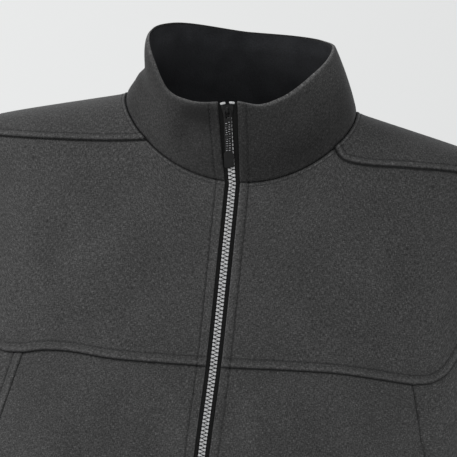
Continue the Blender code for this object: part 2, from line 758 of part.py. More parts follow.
def zip_runs(low, high):
    """Places along the zip between two of them: heights up to the neck seam, then on up the collar."""
    body = np.linspace(HEM_HEIGHT, CHEST_SEAM_HEIGHT, BODY_ROWS + 1)
    chest = np.linspace(CHEST_SEAM_HEIGHT, NECK_HEIGHT, CHEST_ROWS + 1)
    neck = NECK_HEIGHT + COLLAR_FRONT_HEIGHT * np.linspace(0, 1, COLLAR_ROWS + 1)
    runs = np.unique(np.concatenate([body, chest, neck]).round(6))
    spacing = SLIDER_POST_WIDTH
    inside = runs[(runs > low + spacing) & (runs < high - spacing)]
    return np.concatenate([[low], inside, [high]])


def zip_face(across, run, inward=0.0):
    """Points of the vest's face beside the middle front, at a place along the zip."""
    across, run = np.broadcast_arrays(np.asarray(across, float), np.asarray(run, float))
    height = np.minimum(run, NECK_HEIGHT)
    on_body = torso(angle_at(across + zip_middle(height), height), height, np.full_like(run, inward))
    share = np.clip((run - NECK_HEIGHT) / COLLAR_FRONT_HEIGHT, 0, 1)
    on_collar = collar(np.arcsin(across / NECK_HALF_WIDTH), share, np.full_like(run, inward))
    at_seam = np.isclose(run, NECK_HEIGHT, atol=SMALL_HEIGHT / 10)
    collar_part = np.where(at_seam, 0.5, run > NECK_HEIGHT)[..., None]
    return on_body * (1 - collar_part) + on_collar * collar_part


def zip_strip(name, edges, low, high, front, thickness, material):
    """A strip along the zip, with edges at distances from the middle and its face set in from the cloth's."""
    across, run = np.meshgrid(edges, zip_runs(low, high), indexing="ij")
    grids = zip_face(across, run, front), zip_face(across, run, front + thickness)
    cloth(name, [grids], material)


def zip_frame(run):
    """Axes on the zip: x across it, y up along it and z out of the face."""
    places = (run, run + SMALL_RUN, run - SMALL_RUN)
    at, above, below = (Vector(zip_face(0.0, place)) for place in places)
    left, right = (Vector(zip_face(across, run)) for across in (SMALL_RUN, -SMALL_RUN))
    up = (above - below).normalized()
    out = (left - right).cross(up).normalized()
    side = up.cross(out)
    return Matrix.Translation(at) @ Matrix((side, up, out)).transposed().to_4x4()


def block(name, low, high, bevel, foot_share=1.0):
    """A rounded block between two corners, its lower end narrowed by a share."""
    low, high = Vector(low), Vector(high)
    middle = (low + high) / 2
    bm = bmesh.new()
    bmesh.ops.create_cube(bm, size=1, matrix=Matrix.LocRotScale(middle, None, high - low))
    for vert in bm.verts:
        if vert.co.y < middle.y:
            vert.co.x = middle.x + (vert.co.x - middle.x) * foot_share
    if bevel:
        edges = bm.edges[:]
        bmesh.ops.bevel(
            bm, geom=edges, offset=bevel, segments=BEVEL_SEGMENTS, profile=0.5, affect="EDGES"
        )
    return finished(name, bm)


def disc(name, radius, width, height):
    """A short cylinder lying across the zip, its middle at a height above the face."""
    bm = bmesh.new()
    turn = Matrix.Translation((0, 0, height)) @ Matrix.Rotation(math.pi / 2, 4, "Y")
    bmesh.ops.create_cone(
        bm,
        cap_ends=True,
        segments=ROUND_SEGMENTS,
        radius1=radius,
        radius2=radius,
        depth=width,
        matrix=turn,
    )
    return finished(name, bm)


def worked(target, operation, mesh):
    """Join a shape to a piece, or cut it from the piece, in the piece's own frame."""
    tool = bpy.data.objects.new(mesh.name, mesh)
    tool.matrix_world = target.matrix_world
    tool.display_type = "WIRE"
    tool.hide_render = True
    TOOLS.objects.link(tool)
    change = target.modifiers.new(mesh.name, "BOOLEAN")
    change.operation = operation
    change.solver = "EXACT"
    change.object = tool


TAPE_FACE = WALL + SEAM_GAP
TOP_RUN = NECK_HEIGHT + COLLAR_FRONT_HEIGHT
SLIDER_RUN = TOP_RUN - SLIDER_SETBACK
BOX_LOW = HEM_HEIGHT + BOX_SETBACK


def make_tapes(material):
    edges = np.array([TAPE_INNER, ZIP_HALF_GAP, TAPE_OUTER])
    top = TOP_RUN - TAPE_TOP_SETBACK
    zip_strip("zip_tape_left", edges, HEM_HEIGHT, top, TAPE_FACE, TAPE_WALL, material)
    zip_strip("zip_tape_right", -edges, HEM_HEIGHT, top, TAPE_FACE, TAPE_WALL, material)


def make_teeth(material):
    """The closed chain as one plain bar, from the box at the hem to the slider."""
    low = BOX_LOW + BOX_LENGTH + SEAM_GAP
    high = SLIDER_RUN - SLIDER_LENGTH / 2 - SEAM_GAP
    edges = np.array([-CHAIN_HALF_WIDTH, CHAIN_HALF_WIDTH])
    zip_strip("zip_teeth", edges, low, high, 0.0, CHAIN_HEIGHT, material)


def make_slider(material):
    """Front and back plates on one post between the tapes, with a crown that holds the pull tab."""
    half_length = SLIDER_LENGTH / 2
    half_width = SLIDER_TOP_WIDTH / 2
    foot_share = SLIDER_FOOT_WIDTH / SLIDER_TOP_WIDTH
    plate_low = -TAPE_FACE + SEAM_GAP
    plate_high = plate_low + SLIDER_PLATE
    front = block(
        "slider_front",
        (-half_width, -half_length, plate_low),
        (half_width, half_length, plate_high),
        SLIDER_BEVEL,
        foot_share,
    )
    slider = placed("zip_slider", front, material, zip_frame(SLIDER_RUN))
    back_high = -TAPE_FACE - TAPE_WALL - SLIDER_BACK_CLEARANCE
    back_low = back_high - SLIDER_BACK_PLATE
    back = block(
        "slider_back",
        (-half_width, -half_length, back_low),
        (half_width, half_length, back_high),
        0,
        foot_share,
    )
    half_post = SLIDER_POST_WIDTH / 2
    post = block(
        "slider_post",
        (-half_post, -SLIDER_POST_LENGTH / 2, (back_low + back_high) / 2),
        (half_post, SLIDER_POST_LENGTH / 2, (plate_low + plate_high) / 2),
        0,
    )
    pivot = plate_high + PIVOT_HEIGHT
    worked(slider, "UNION", back)
    worked(slider, "UNION", post)
    worked(slider, "UNION", disc("slider_crown", CROWN_RADIUS, CROWN_WIDTH, pivot))
    worked(slider, "DIFFERENCE", disc("slider_eye", CROWN_EYE_RADIUS, 2 * CROWN_WIDTH, pivot))
    return slider.matrix_world @ Matrix.Translation((0, 0, pivot))


def make_pull(pivot_frame, material):
    """The pull tab: a long plate with a wider foot. Its window straddles the crown, its bar through the eye."""
    half_width, half_thickness, half_bar = PULL_WIDTH / 2, PULL_THICKNESS / 2, PULL_BAR / 2
    foot_top = PULL_FOOT_LENGTH - PULL_LENGTH
    plate = block(
        "pull_plate",
        (-half_width, -PULL_LENGTH + PULL_FOOT_LENGTH / 2, -half_thickness),
        (half_width, half_bar, half_thickness),
        PULL_BEVEL,
    )
    rest = Matrix.Rotation(PULL_REST_LEAN, 4, "Z") @ Matrix.Rotation(PULL_REST_TILT, 4, "X")
    pull = placed("zip_pull", plate, material, pivot_frame @ rest)
    foot = block(
        "pull_foot",
        (-PULL_FOOT_WIDTH / 2, -PULL_LENGTH, -half_thickness),
        (PULL_FOOT_WIDTH / 2, foot_top, half_thickness),
        PULL_BEVEL,
    )
    worked(pull, "UNION", foot)
    window = block(
        "pull_window",
        (-PULL_WINDOW_HALF_WIDTH, -half_bar - PULL_WINDOW_LENGTH, -PULL_THICKNESS),
        (PULL_WINDOW_HALF_WIDTH, -half_bar, PULL_THICKNESS),
        0,
    )
    worked(pull, "DIFFERENCE", window)


def make_stops(material):
    """A moulded stop at the top of each tape, just above the slider."""
    low = SLIDER_LENGTH / 2 + STOP_GAP
    base = -TAPE_FACE + SEAM_GAP
    for name, inner in (("zip_stop_left", STOP_INNER), ("zip_stop_right", -STOP_INNER - STOP_WIDTH)):
        stop = block(
            name,
            (inner, low, base),
            (inner + STOP_WIDTH, low + STOP_LENGTH, base + STOP_HEIGHT),
            STOP_BEVEL,
        )
        placed(name, stop, material, zip_frame(SLIDER_RUN))


def make_box(material):
    """The retainer box at the foot of the zip."""
    base = -TAPE_FACE + SEAM_GAP
    half_width, half_length = BOX_WIDTH / 2, BOX_LENGTH / 2
    box = block(
        "zip_box",
        (-half_width, -half_length, base),
        (half_width, half_length, base + BOX_HEIGHT),
        SLIDER_BEVEL,
    )
    placed("zip_box", box, material, zip_frame(BOX_LOW + half_length))


# Build


def plain_material(name, colour, roughness):
    material = bpy.data.materials.new(name)
    material.use_nodes = True
    shader = material.node_tree.nodes["Principled BSDF"]
    shader.inputs["Base Color"].default_value = (*colour, 1)
    shader.inputs["Roughness"].default_value = roughness
    material.diffuse_color = (*colour, 1)
    return material


for old in list(bpy.data.objects):
    bpy.data.objects.remove(old, do_unlink=True)
VEST = bpy.data.collections.new("softshell_vest")
TOOLS = bpy.data.collections.new("tools")
bpy.context.scene.collection.children.link(VEST)
bpy.context.scene.collection.children.link(TOOLS)

CHARCOAL = plain_material("charcoal_softshell", (0.052, 0.053, 0.055), 0.85)
BLACK_FLEECE = plain_material("black_facing", (0.010, 0.010, 0.011), 0.95)
BLACK_TAPE = plain_material("black_zip_tape", (0.008, 0.008, 0.008), 0.8)
SILVER = plain_material("silver_zip_teeth", (0.45, 0.45, 0.46), 0.4)
BLACK_METAL = plain_material("black_zip_metal", (0.012, 0.012, 0.012), 0.4)

SHARED = {side: seam_lines(side) for side in SIDES}
for wearer_side in SIDES:
    make_chest(wearer_side, SHARED[wearer_side], CHARCOAL)
    make_lower_front(wearer_side, SHARED[wearer_side], CHARCOAL)
    make_side(wearer_side, SHARED[wearer_side], CHARCOAL)
make_back(SHARED, CHARCOAL)
make_collar(CHARCOAL, BLACK_FLEECE)
make_tapes(BLACK_TAPE)
make_teeth(SILVER)
PIVOT_FRAME = make_slider(BLACK_METAL)
make_pull(PIVOT_FRAME, BLACK_METAL)
make_stops(SILVER)
make_box(BLACK_METAL)
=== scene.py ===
"""Looks of a charcoal softshell vest with a stand collar and a full front zip.

Metres, +Z up. The front faces -Y and the wearer's left is +X. Each cloth piece is a closed shell on the form
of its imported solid, to which turned edges, lapped seams, pressed stitch lines and soft creases are added.
"""

import json
import math
from collections import namedtuple

import bmesh
import bpy
import numpy as np
from mathutils import Matrix, Vector


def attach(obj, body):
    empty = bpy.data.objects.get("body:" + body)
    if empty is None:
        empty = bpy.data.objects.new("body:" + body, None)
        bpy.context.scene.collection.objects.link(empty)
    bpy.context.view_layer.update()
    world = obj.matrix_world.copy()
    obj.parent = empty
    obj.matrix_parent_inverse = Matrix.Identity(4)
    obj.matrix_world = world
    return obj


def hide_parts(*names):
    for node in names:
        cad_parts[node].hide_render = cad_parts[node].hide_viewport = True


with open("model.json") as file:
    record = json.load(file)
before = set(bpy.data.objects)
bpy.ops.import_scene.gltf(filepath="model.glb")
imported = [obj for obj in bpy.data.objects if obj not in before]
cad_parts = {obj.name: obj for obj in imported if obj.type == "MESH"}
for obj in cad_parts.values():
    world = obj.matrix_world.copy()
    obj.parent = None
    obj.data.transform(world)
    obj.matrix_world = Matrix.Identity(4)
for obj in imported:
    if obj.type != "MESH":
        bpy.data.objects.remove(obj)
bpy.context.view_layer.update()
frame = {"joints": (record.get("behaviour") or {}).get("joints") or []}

# Studio: pale paper behind the vest and a pale floor far below it, a dim room with its light in front of the
# vest and at the right, and one large lamp at the upper left. The camera stands before the chest, close on
# the collar and the zip.

PALE_GREY = (0.791, 0.799, 0.799)
ROOM_LIGHT = 0.30  # shares of the pale grey
FRONT_LIGHT = 1.10  # what is added to it in front of the vest, above it and at the right
TOP_LIGHT = -0.30
RIGHT_LIGHT = 0.45
PAPER_LIGHT = (1.05, 0.91)  # a step to the left and to the right of the middle
PAPER_STEP = 0.25
PAPER_STARTS = 0.10  # how far behind a direction points where the paper fades in
PAPER_WHOLE = 0.60
FLOOR_HEIGHT = -1.45  # as far below the shoulders as a wearer's feet
FLOOR_RADIUS = 1.9
FLOOR_STEPS = 96
LAMP_PLACE = Vector((-2.5, -0.25, 1.2))
LAMP_AIM = Vector((0.0, -0.05, -0.10))
LAMP_SIZE = 1.0
LAMP_POWER = 57.0
CAMERA_AIM = Vector((0.0, -0.06, -0.08))
CAMERA_DISTANCE = 2.4
CAMERA_TURN = math.radians(2.01)
CAMERA_RISE = math.radians(7.55)
CAMERA_ROLL = math.radians(4.70)
CAMERA_LENS = 221.56
CAMERA_SHIFT = (-0.00175, -0.00525)
CAMERA_REACH = 100.0


def add_node(tree, kind, inputs=(), **settings):
    """A node with its settings made, and each input linked to a socket or set to a value."""
    made = tree.nodes.new(kind)
    for name, value in settings.items():
        setattr(made, name, value)
    for key, value in dict(inputs).items():
        if isinstance(value, bpy.types.NodeSocket):
            tree.links.new(value, made.inputs[key])
        else:
            made.inputs[key].default_value = value
    return made


def new_material(name, constants):
    """A material with one Principled shader, its node tree, and that shader with these constants set."""
    material = bpy.data.materials.new(name)
    material.use_nodes = True
    shader = material.node_tree.nodes["Principled BSDF"]
    for socket, value in constants.items():
        shader.inputs[socket].default_value = value
    return material, material.node_tree, shader


def linked(name, data):
    """A new object in the scene."""
    made = bpy.data.objects.new(name, data)
    bpy.context.scene.collection.objects.link(made)
    return made


def new_object(name, mesh, material):
    mesh.materials.append(material)
    return linked(name, mesh)


def mesh_of(bm, name):
    mesh = bpy.data.meshes.new(name)
    bm.to_mesh(mesh)
    bm.free()
    return mesh


def number(tree, operation, a, b):
    return add_node(tree, "ShaderNodeMath", {0: a, 1: b}, operation=operation).outputs[0]


def eased(tree, value, given, wanted):
    """A value carried smoothly from one range to another, and held at its ends."""
    ends = dict(zip(("From Min", "From Max", "To Min", "To Max"), (*given, *wanted)))
    made = add_node(tree, "ShaderNodeMapRange", {"Value": value, **ends}, interpolation_type="SMOOTHSTEP")
    return made.outputs[0]


def make_world():
    world = bpy.data.worlds.new("studio")
    world.use_nodes = True
    tree = world.node_tree
    toward = add_node(tree, "ShaderNodeTexCoord").outputs["Generated"]
    across, behind, up = add_node(tree, "ShaderNodeSeparateXYZ", {0: toward}).outputs
    room = number(tree, "ADD", eased(tree, up, (0, 1), (0, TOP_LIGHT)), ROOM_LIGHT)
    room = number(tree, "ADD", room, eased(tree, behind, (0, -1), (0, FRONT_LIGHT)))
    room = number(tree, "ADD", room, eased(tree, across, (0, 1), (0, RIGHT_LIGHT)))
    paper = eased(tree, across, (-PAPER_STEP, PAPER_STEP), PAPER_LIGHT)
    part = eased(tree, behind, (PAPER_STARTS, PAPER_WHOLE), (0, 1))
    strength = add_node(tree, "ShaderNodeMix", {"Factor": part, "A": room, "B": paper}).outputs["Result"]
    sky = tree.nodes["Background"]
    sky.inputs["Color"].default_value = (*PALE_GREY, 1)
    tree.links.new(strength, sky.inputs["Strength"])
    bpy.context.scene.world = world


def make_floor():
    material, _, _ = new_material("pale_floor", {"Base Color": (*PALE_GREY, 1), "Roughness": 0.9})
    place = Matrix.Translation((0, 0, FLOOR_HEIGHT))
    bm = bmesh.new()
    bmesh.ops.create_circle(bm, cap_ends=True, segments=FLOOR_STEPS, radius=FLOOR_RADIUS, matrix=place)
    new_object("floor", mesh_of(bm, "floor"), material)


def make_lamp():
    lamp = bpy.data.lights.new("soft_lamp", "AREA")
    lamp.shape = "DISK"
    lamp.size = LAMP_SIZE
    lamp.energy = LAMP_POWER
    made = linked("soft_lamp", lamp)
    made.location = LAMP_PLACE
    made.rotation_mode = "QUATERNION"
    made.rotation_quaternion = (LAMP_AIM - LAMP_PLACE).to_track_quat("-Z", "Y")


def make_camera():
    lens = bpy.data.cameras.new("camera")
    lens.lens = CAMERA_LENS
    lens.shift_x, lens.shift_y = CAMERA_SHIFT
    lens.clip_end = CAMERA_REACH
    level = math.cos(CAMERA_RISE)
    back = Vector((math.sin(CAMERA_TURN) * level, -math.cos(CAMERA_TURN) * level, math.sin(CAMERA_RISE)))
    right = Vector((math.cos(CAMERA_TURN), math.sin(CAMERA_TURN), 0))
    up = back.cross(right)
    cosine, sine = math.cos(CAMERA_ROLL), math.sin(CAMERA_ROLL)
    axes = Matrix((cosine * right + sine * up, cosine * up - sine * right, back)).transposed()
    made = linked("camera", lens)
    made.matrix_world = Matrix.Translation(CAMERA_AIM + CAMERA_DISTANCE * back) @ axes.to_4x4()
    bpy.context.scene.camera = made


make_world()
make_floor()
make_lamp()
make_camera()
bpy.context.scene.view_settings.view_transform = "Standard"

# Chest panels: the two upper fronts, cut from bonded charcoal softshell. Each runs from the neck and shoulder
# seams down to the chest seam, where its turned lower edge laps over the lower front and is topstitched.

NECK_POINT_HEIGHT = 0.020  # where the shoulder ridge meets the collar
NECK_HALF_WIDTH = 0.1005
FRONT_NECK_DROP = 0.0605
BACK_NECK_DROP = 0.012
NECK_CURVE = 1.42  # how late the neckline turns down towards the middle
SHOULDER_SLOPE = math.radians(13.3)
SHOULDER_ROUNDING = 12.0
BODY_LENGTH = 0.700  # from the neck point down to the hem
HEM_HEIGHT = NECK_POINT_HEIGHT - BODY_LENGTH
RING_SQUARENESS = 2.3
WALL = 0.0020
ZIP_HALF_GAP = 0.0065  # from the middle of the zip to the folded front edge
ZIP_TURN = math.asin(ZIP_HALF_GAP / NECK_HALF_WIDTH)
SIDES = {"left": 1, "right": -1}

# Torso rings, from the hem up: half-width at the side, and depth in front of and behind the side seam
Ring = namedtuple("Ring", "height side front back")
RINGS = (
    Ring(-0.680, 0.238, 0.114, 0.106),
    Ring(-0.560, 0.235, 0.115, 0.101),
    Ring(-0.420, 0.233, 0.117, 0.098),
    Ring(-0.300, 0.234, 0.119, 0.103),
    Ring(-0.240, 0.236, 0.120, 0.108),
    Ring(-0.188, 0.237, 0.117, 0.111),
    Ring(-0.130, 0.237, 0.107, 0.108),
    Ring(-0.080, 0.237, 0.093, 0.097),
    Ring(-0.036, 0.237, 0.075, 0.078),
    Ring(0.008, 0.237, 0.050, 0.055),
    Ring(0.040, 0.237, 0.034, 0.044),
)
# Seam points on each side: distance from the middle front and height
SHOULDER_SEAM_START = {"left": 0.0838, "right": 0.0768}  # on the neck seam
SHOULDER_SEAM = {
    "left": (
        (0.0870, -0.0108),
        (0.0934, -0.0156),
        (0.1010, -0.0170),
        (0.1404, -0.0178),
        (0.1892, -0.0192),
    ),
    "right": ((0.1015, -0.0153), (0.1509, -0.0189), (0.1900, -0.0212)),
}
CHEST_SEAM_HEIGHT = -0.1920  # at the zip
CHEST_SEAM_INNER = {
    "left": ((0.0593, -0.1900), (0.1079, -0.1903), (0.1385, -0.1935), (0.1670, -0.1972)),
    "right": ((0.0366, -0.1926), (0.0894, -0.1936), (0.1300, -0.1922), (0.1471, -0.1940), (0.1655, -0.1990)),
}
CHEST_SEAM_OUTER = {
    "left": ((0.1670, -0.1972), (0.1844, -0.1951), (0.1942, -0.1890), (0.2026, -0.1761)),
    "right": ((0.1655, -0.1990), (0.1868, -0.1995), (0.2010, -0.1870)),
}
ZIP_MIDDLE = (
    (-0.0075, HEM_HEIGHT),
    (-0.0075, -0.3600),
    (-0.0055, -0.2690),
    (-0.0017, -0.1910),
    (0.0000, -0.0900),
    (0.0000, 0.1000),
)
# Armhole edge seen from the side, from the chest seam up: distance from the side seam's plane and height
FRONT_ARMHOLE_HIGH = ((0.0605, -0.1580), (0.0565, -0.1100), (0.0460, -0.0600), (0.0325, -0.0225))

# A soft patch: its place round the body (0 front, + is the wearer's left), its level, half sizes and amount
Patch = namedtuple("Patch", "angle level half_angle half_level amount")
# Drapes of the lower body, by height, and how far they move the cloth out
DRAPES = (
    Patch(62, -0.560, 13, 0.150, -0.0050),
    Patch(-58, -0.520, 12, 0.140, -0.0055),
    Patch(84, -0.420, 10, 0.120, 0.0040),
    Patch(-82, -0.440, 11, 0.130, 0.0040),
    Patch(118, -0.480, 15, 0.170, -0.0060),
    Patch(-124, -0.450, 15, 0.180, -0.0055),
    Patch(150, -0.540, 14, 0.150, 0.0045),
    Patch(-152, -0.560, 15, 0.150, 0.0045),
    Patch(180, -0.400, 16, 0.170, -0.0045),
)
# Creases: place round the body, half length and half width, lean from upright, and depth of the trough
Crease = namedtuple("Crease", "angle height length width lean depth")
CREASES = (
    Crease(-24, -0.085, 0.060, 0.016, 38, 0.0010),
    Crease(33, -0.100, 0.055, 0.015, -42, 0.0010),
    Crease(-46, -0.130, 0.050, 0.013, -20, 0.0012),
    Crease(50, -0.140, 0.050, 0.013, 24, 0.0012),
    Crease(-20, -0.300, 0.090, 0.018, 12, 0.0010),
    Crease(4.4, -0.280, 0.070, 0.0088, -8, 0.0044),
    Crease(-10, -0.310, 0.060, 0.0085, 7, 0.0030),
    Crease(-23, -0.350, 0.090, 0.0110, -5, 0.0044),
    Crease(52, -0.236, 0.045, 0.0080, 62, 0.0026),
    Crease(26, -0.340, 0.100, 0.020, -16, 0.0012),
    Crease(-40, -0.420, 0.090, 0.015, -58, 0.0042),
    Crease(44, -0.460, 0.090, 0.015, 55, 0.0042),
    Crease(-74, -0.330, 0.075, 0.012, 40, 0.0048),
    Crease(72, -0.350, 0.080, 0.012, -44, 0.0048),
    Crease(-98, -0.400, 0.080, 0.013, -52, 0.0056),
    Crease(101, -0.390, 0.085, 0.014, 48, 0.0056),
    Crease(-112, -0.520, 0.075, 0.013, 66, 0.0050),
    Crease(86, -0.540, 0.080, 0.013, -62, 0.0050),
    Crease(-128, -0.290, 0.090, 0.014, 62, 0.0048),
    Crease(126, -0.310, 0.090, 0.014, -60, 0.0048),
    Crease(-158, -0.180, 0.080, 0.016, 35, 0.0034),
    Crease(157, -0.200, 0.080, 0.016, -30, 0.0034),
    Crease(172, -0.330, 0.110, 0.015, 82, 0.0046),
    Crease(-166, -0.460, 0.100, 0.015, -76, 0.0046),
    Crease(148, -0.610, 0.070, 0.015, 14, 0.0038),
    Crease(-150, -0.630, 0.055, 0.014, -6, 0.0036),
    Crease(34, -0.620, 0.060, 0.014, 8, 0.0030),
    Crease(-20, -0.590, 0.080, 0.016, -10, 0.0030),
)
CREASE_RADIUS = 0.19  # what a turn round the body is worth across a crease
RIDGE_SHARE = 0.55  # height of the soft ridge beside each trough
RIDGE_OFF = 1.7  # and its distance from it, in half widths

CURVE_SAMPLES = 400
SMALL_HEIGHT = 1e-4
FINE = 60  # steps along each seam line before the rows are set out
CLOTH_PITCH = 0.0040


def smooth_through(places, values, at):
    """Values read from a smooth curve through (places, values), which are in rising order of place."""
    places = np.asarray(places, float)
    values = np.asarray(values, float)
    steps = np.diff(places)
    slopes = np.diff(values) / steps
    tangents = np.empty_like(values)
    tangents[0], tangents[-1] = slopes[0], slopes[-1]
    weights = steps[:-1] + steps[1:]
    tangents[1:-1] = (slopes[:-1] * steps[1:] + slopes[1:] * steps[:-1]) / weights
    at = np.clip(np.asarray(at, float), places[0], places[-1])
    i = np.clip(np.searchsorted(places, at, side="right") - 1, 0, len(places) - 2)
    step = steps[i]
    t = (at - places[i]) / step
    return (
        (2 * t**3 - 3 * t**2 + 1) * values[i]
        + (t**3 - 2 * t**2 + t) * step * tangents[i]
        + (3 * t**2 - 2 * t**3) * values[i + 1]
        + (t**3 - t**2) * step * tangents[i + 1]
    )


def run_along(points):
    """How far along a line through points each of them is."""
    return np.concatenate([[0], np.cumsum(np.linalg.norm(np.diff(points, axis=0), axis=-1))])


def evenly_along(points, count):
    """count + 1 points at even spacing along a smooth curve through the given flat points."""
    points = np.asarray(points, float)
    chord = run_along(points)
    fine = np.linspace(0, chord[-1], CURVE_SAMPLES)
    curve = np.stack([smooth_through(chord, points[:, k], fine) for k in range(2)], axis=1)
    length = run_along(curve)
    at = np.linspace(0, length[-1], count + 1)
    return np.stack([np.interp(at, length, curve[:, k]) for k in range(2)], axis=1)


def ring_value(column, height):
    heights = [ring.height for ring in RINGS]
    return smooth_through(heights, [getattr(ring, column) for ring in RINGS], height)


def reach(height):
    """Half-width of the torso at this height: the shoulder line above, rounding into the side below."""
    line = NECK_HALF_WIDTH + (NECK_POINT_HEIGHT - np.asarray(height, float)) / math.tan(SHOULDER_SLOPE)
    side = ring_value("side", height)
    k = SHOULDER_ROUNDING
    return (np.maximum(line, SMALL_HEIGHT) ** -k + side**-k) ** (-1 / k)


def depth(height, behind):
    return np.where(behind, ring_value("back", height), ring_value("front", height))


def degrees_from(middle, angle):
    """How far round the body an angle is from a middle, the short way."""
    return (np.degrees(angle) - middle + 180) % 360 - 180


def patched(angle, level, patches):
    """The sum of soft patches at an angle round the body and a level."""
    total = np.zeros_like(level)
    for patch in patches:
        off = degrees_from(patch.angle, angle) / patch.half_angle
        rise = (level - patch.level) / patch.half_level
        total += patch.amount * np.exp(-(off**2 + rise**2))
    return total


def hang(angle, height):
    """How far the drapes and creases move the cloth out at a place round the body."""
    moved = patched(angle, height, DRAPES)
    for crease in CREASES:
        off = np.radians(degrees_from(crease.angle, angle)) * CREASE_RADIUS
        rise = height - crease.height
        cosine, sine = math.cos(math.radians(crease.lean)), math.sin(math.radians(crease.lean))
        along = (rise * cosine + off * sine) / crease.length
        across = (off * cosine - rise * sine) / crease.width
        trough = RIDGE_SHARE * np.exp(-((across - RIDGE_OFF) ** 2)) - np.exp(-(across**2))
        moved += crease.depth * trough * np.exp(-(along**2))
    return moved


def torso(angle, height, inward=0.0):
    """Points of the torso at an angle round it from the middle front, moved inward by a distance."""
    angle = np.asarray(angle, float)
    height = np.asarray(height, float)
    n = RING_SQUARENESS
    behind = np.cos(angle) < 0
    a, b = reach(height), depth(height, behind)
    side = np.sign(np.sin(angle))
    front = np.where(behind, 1.0, -1.0)
    x_share = np.abs(np.sin(angle)) ** (2 / n)
    y_share = np.abs(np.cos(angle)) ** (2 / n)
    step = SMALL_HEIGHT
    a_slope = (reach(height + step) - reach(height - step)) / (2 * step)
    b_slope = (depth(height + step, behind) - depth(height - step, behind)) / (2 * step)
    normal = np.stack(
        [
            side * x_share ** (n - 1) / a,
            front * y_share ** (n - 1) / b,
            -(x_share**n) * a_slope / a - (y_share**n) * b_slope / b,
        ],
        axis=-1,
    )
    normal /= np.linalg.norm(normal, axis=-1, keepdims=True)
    point = np.stack([side * a * x_share, front * b * y_share, height], axis=-1)
    return point + normal * (hang(angle, height) - inward)[..., None]


def angle_at(across, height, behind=False):
    """The angle round the torso at a distance from the middle."""
    share = np.clip(np.abs(across) / reach(height), 0, 1)
    side = np.where(np.asarray(across) < 0, -1, 1)
    angle = side * np.arcsin(share ** (RING_SQUARENESS / 2))
    return np.where(behind, side * math.pi - angle, angle)


def edge_angle(off, height, behind=False):
    """The angle round the torso on the wearer's left at a distance off the side seam's plane."""
    share = np.clip(np.asarray(off) / depth(height, behind), 0, 1)
    angle = np.arccos(share ** (RING_SQUARENESS / 2))
    return np.where(behind, math.pi - angle, angle)


def neckline(turn):
    """(across, height) of the neck seam at a turn from the middle front, and whether it is behind."""
    turn = np.asarray(turn, float)
    drop = np.where(np.cos(turn) > 0, FRONT_NECK_DROP, BACK_NECK_DROP)
    height = NECK_POINT_HEIGHT - drop * np.abs(np.cos(turn)) ** NECK_CURVE
    return NECK_HALF_WIDTH * np.sin(turn), height, np.cos(turn) < 0


def zip_middle(height):
    across, heights = np.transpose(ZIP_MIDDLE)
    return smooth_through(heights, across, height)


def blend(bottom, top, left, right):
    """A flat grid [column][row] between four edge lines, whose corners are shared."""
    u = np.linspace(0, 1, len(bottom))[:, None, None]
    v = np.linspace(0, 1, len(left))[None, :, None]
    across = (1 - v) * bottom[:, None] + v * top[:, None]
    along = (1 - u) * left[None] + u * right[None]
    low = (1 - u) * bottom[0] + u * bottom[-1]
    high = (1 - u) * top[0] + u * top[-1]
    return across + along - (1 - v) * low - v * high


def mirrored(places):
    return np.stack([-places[..., 0], places[..., 1]], axis=-1)


def sided(side, places):
    """Places given for the wearer's left, on the side that is asked for."""
    return places if side == "left" else mirrored(places)


def as_angles(flat):
    """(angle, height) of (across, height) places on the front."""
    return np.stack([angle_at(flat[..., 0], flat[..., 1]), flat[..., 1]], axis=-1)


def front_edge(side, bottom, top):
    """(across, height) of the folded edge beside the zip, upwards."""
    heights = np.linspace(bottom, top, FINE + 1)
    return np.stack([ZIP_HALF_GAP + SIDES[side] * zip_middle(heights), heights], axis=-1)


def armhole_line(points, behind=False):
    """(angle, height) along an armhole edge given as seen from the side."""
    even = evenly_along(points, FINE)
    return np.stack([edge_angle(even[:, 0], even[:, 1], behind), even[:, 1]], axis=-1)


def edge_across(off, height, behind=False):
    """(across, height) of an armhole point."""
    return float(torso(edge_angle(off, height, behind), height)[0]), height


def neck_front(side):
    """(across, height) of the neck seam from the zip to the shoulder seam."""
    end = math.asin(SHOULDER_SEAM_START[side] / NECK_HALF_WIDTH)
    return np.stack(neckline(np.linspace(ZIP_TURN, end, FINE + 1))[:2], axis=-1)


def shoulder_seam(side):
    """(across, height) of the seam on the front of the shoulder, outwards."""
    ends = neck_front(side)[-1], edge_across(*FRONT_ARMHOLE_HIGH[-1])
    return evenly_along((ends[0], *SHOULDER_SEAM[side], ends[1]), FINE)


def chest_seam(side):
    """(across, height) of the chest seam, out to the princess seam and on to the armhole."""
    start = front_edge(side, CHEST_SEAM_HEIGHT, NECK_POINT_HEIGHT)[0]
    inner = evenly_along((start, *CHEST_SEAM_INNER[side]), FINE)
    outer = evenly_along((*CHEST_SEAM_OUTER[side], edge_across(*FRONT_ARMHOLE_HIGH[0])), FINE)
    return inner, outer


# How an edge is sewn: radius of its roll, how far its lap stands up, how deep the seam sinks, how far in its
# stitch line runs, whether it is turned in and free, and its painted highlight (painted shade, minus)
Finish = namedtuple("Finish", "roll lap sink stitch turned tint")
LAPPED_CHEST = Finish(0.0011, 0.0012, 0, 0.0077, False, -0.98)
UNDER_LAP = Finish(0.0005, 0, 0.0005, 0, False, -0.98)
BESIDE_COLLAR = Finish(0.0009, 0.0010, 0, 0.0030, False, -0.75)
BESIDE_ZIP = Finish(0.0011, 0.0005, 0, 0.0073, True, 0.30)
ARMHOLE = Finish(0.0011, 0.0003, 0, 0.0070, True, 0.30)
SINK_REACH = 0.0021
LAP_EASE = 0.0011  # how far past its stitch line a lap fades out
LAP_FADE = 0.0007
PINCH_DEPTH = 0.0008  # of the cloth under a stitch line
PINCH_REACH = 0.0009
EDGE_LEFT = 0.0002  # what is left of the wall at the tip of a turned edge
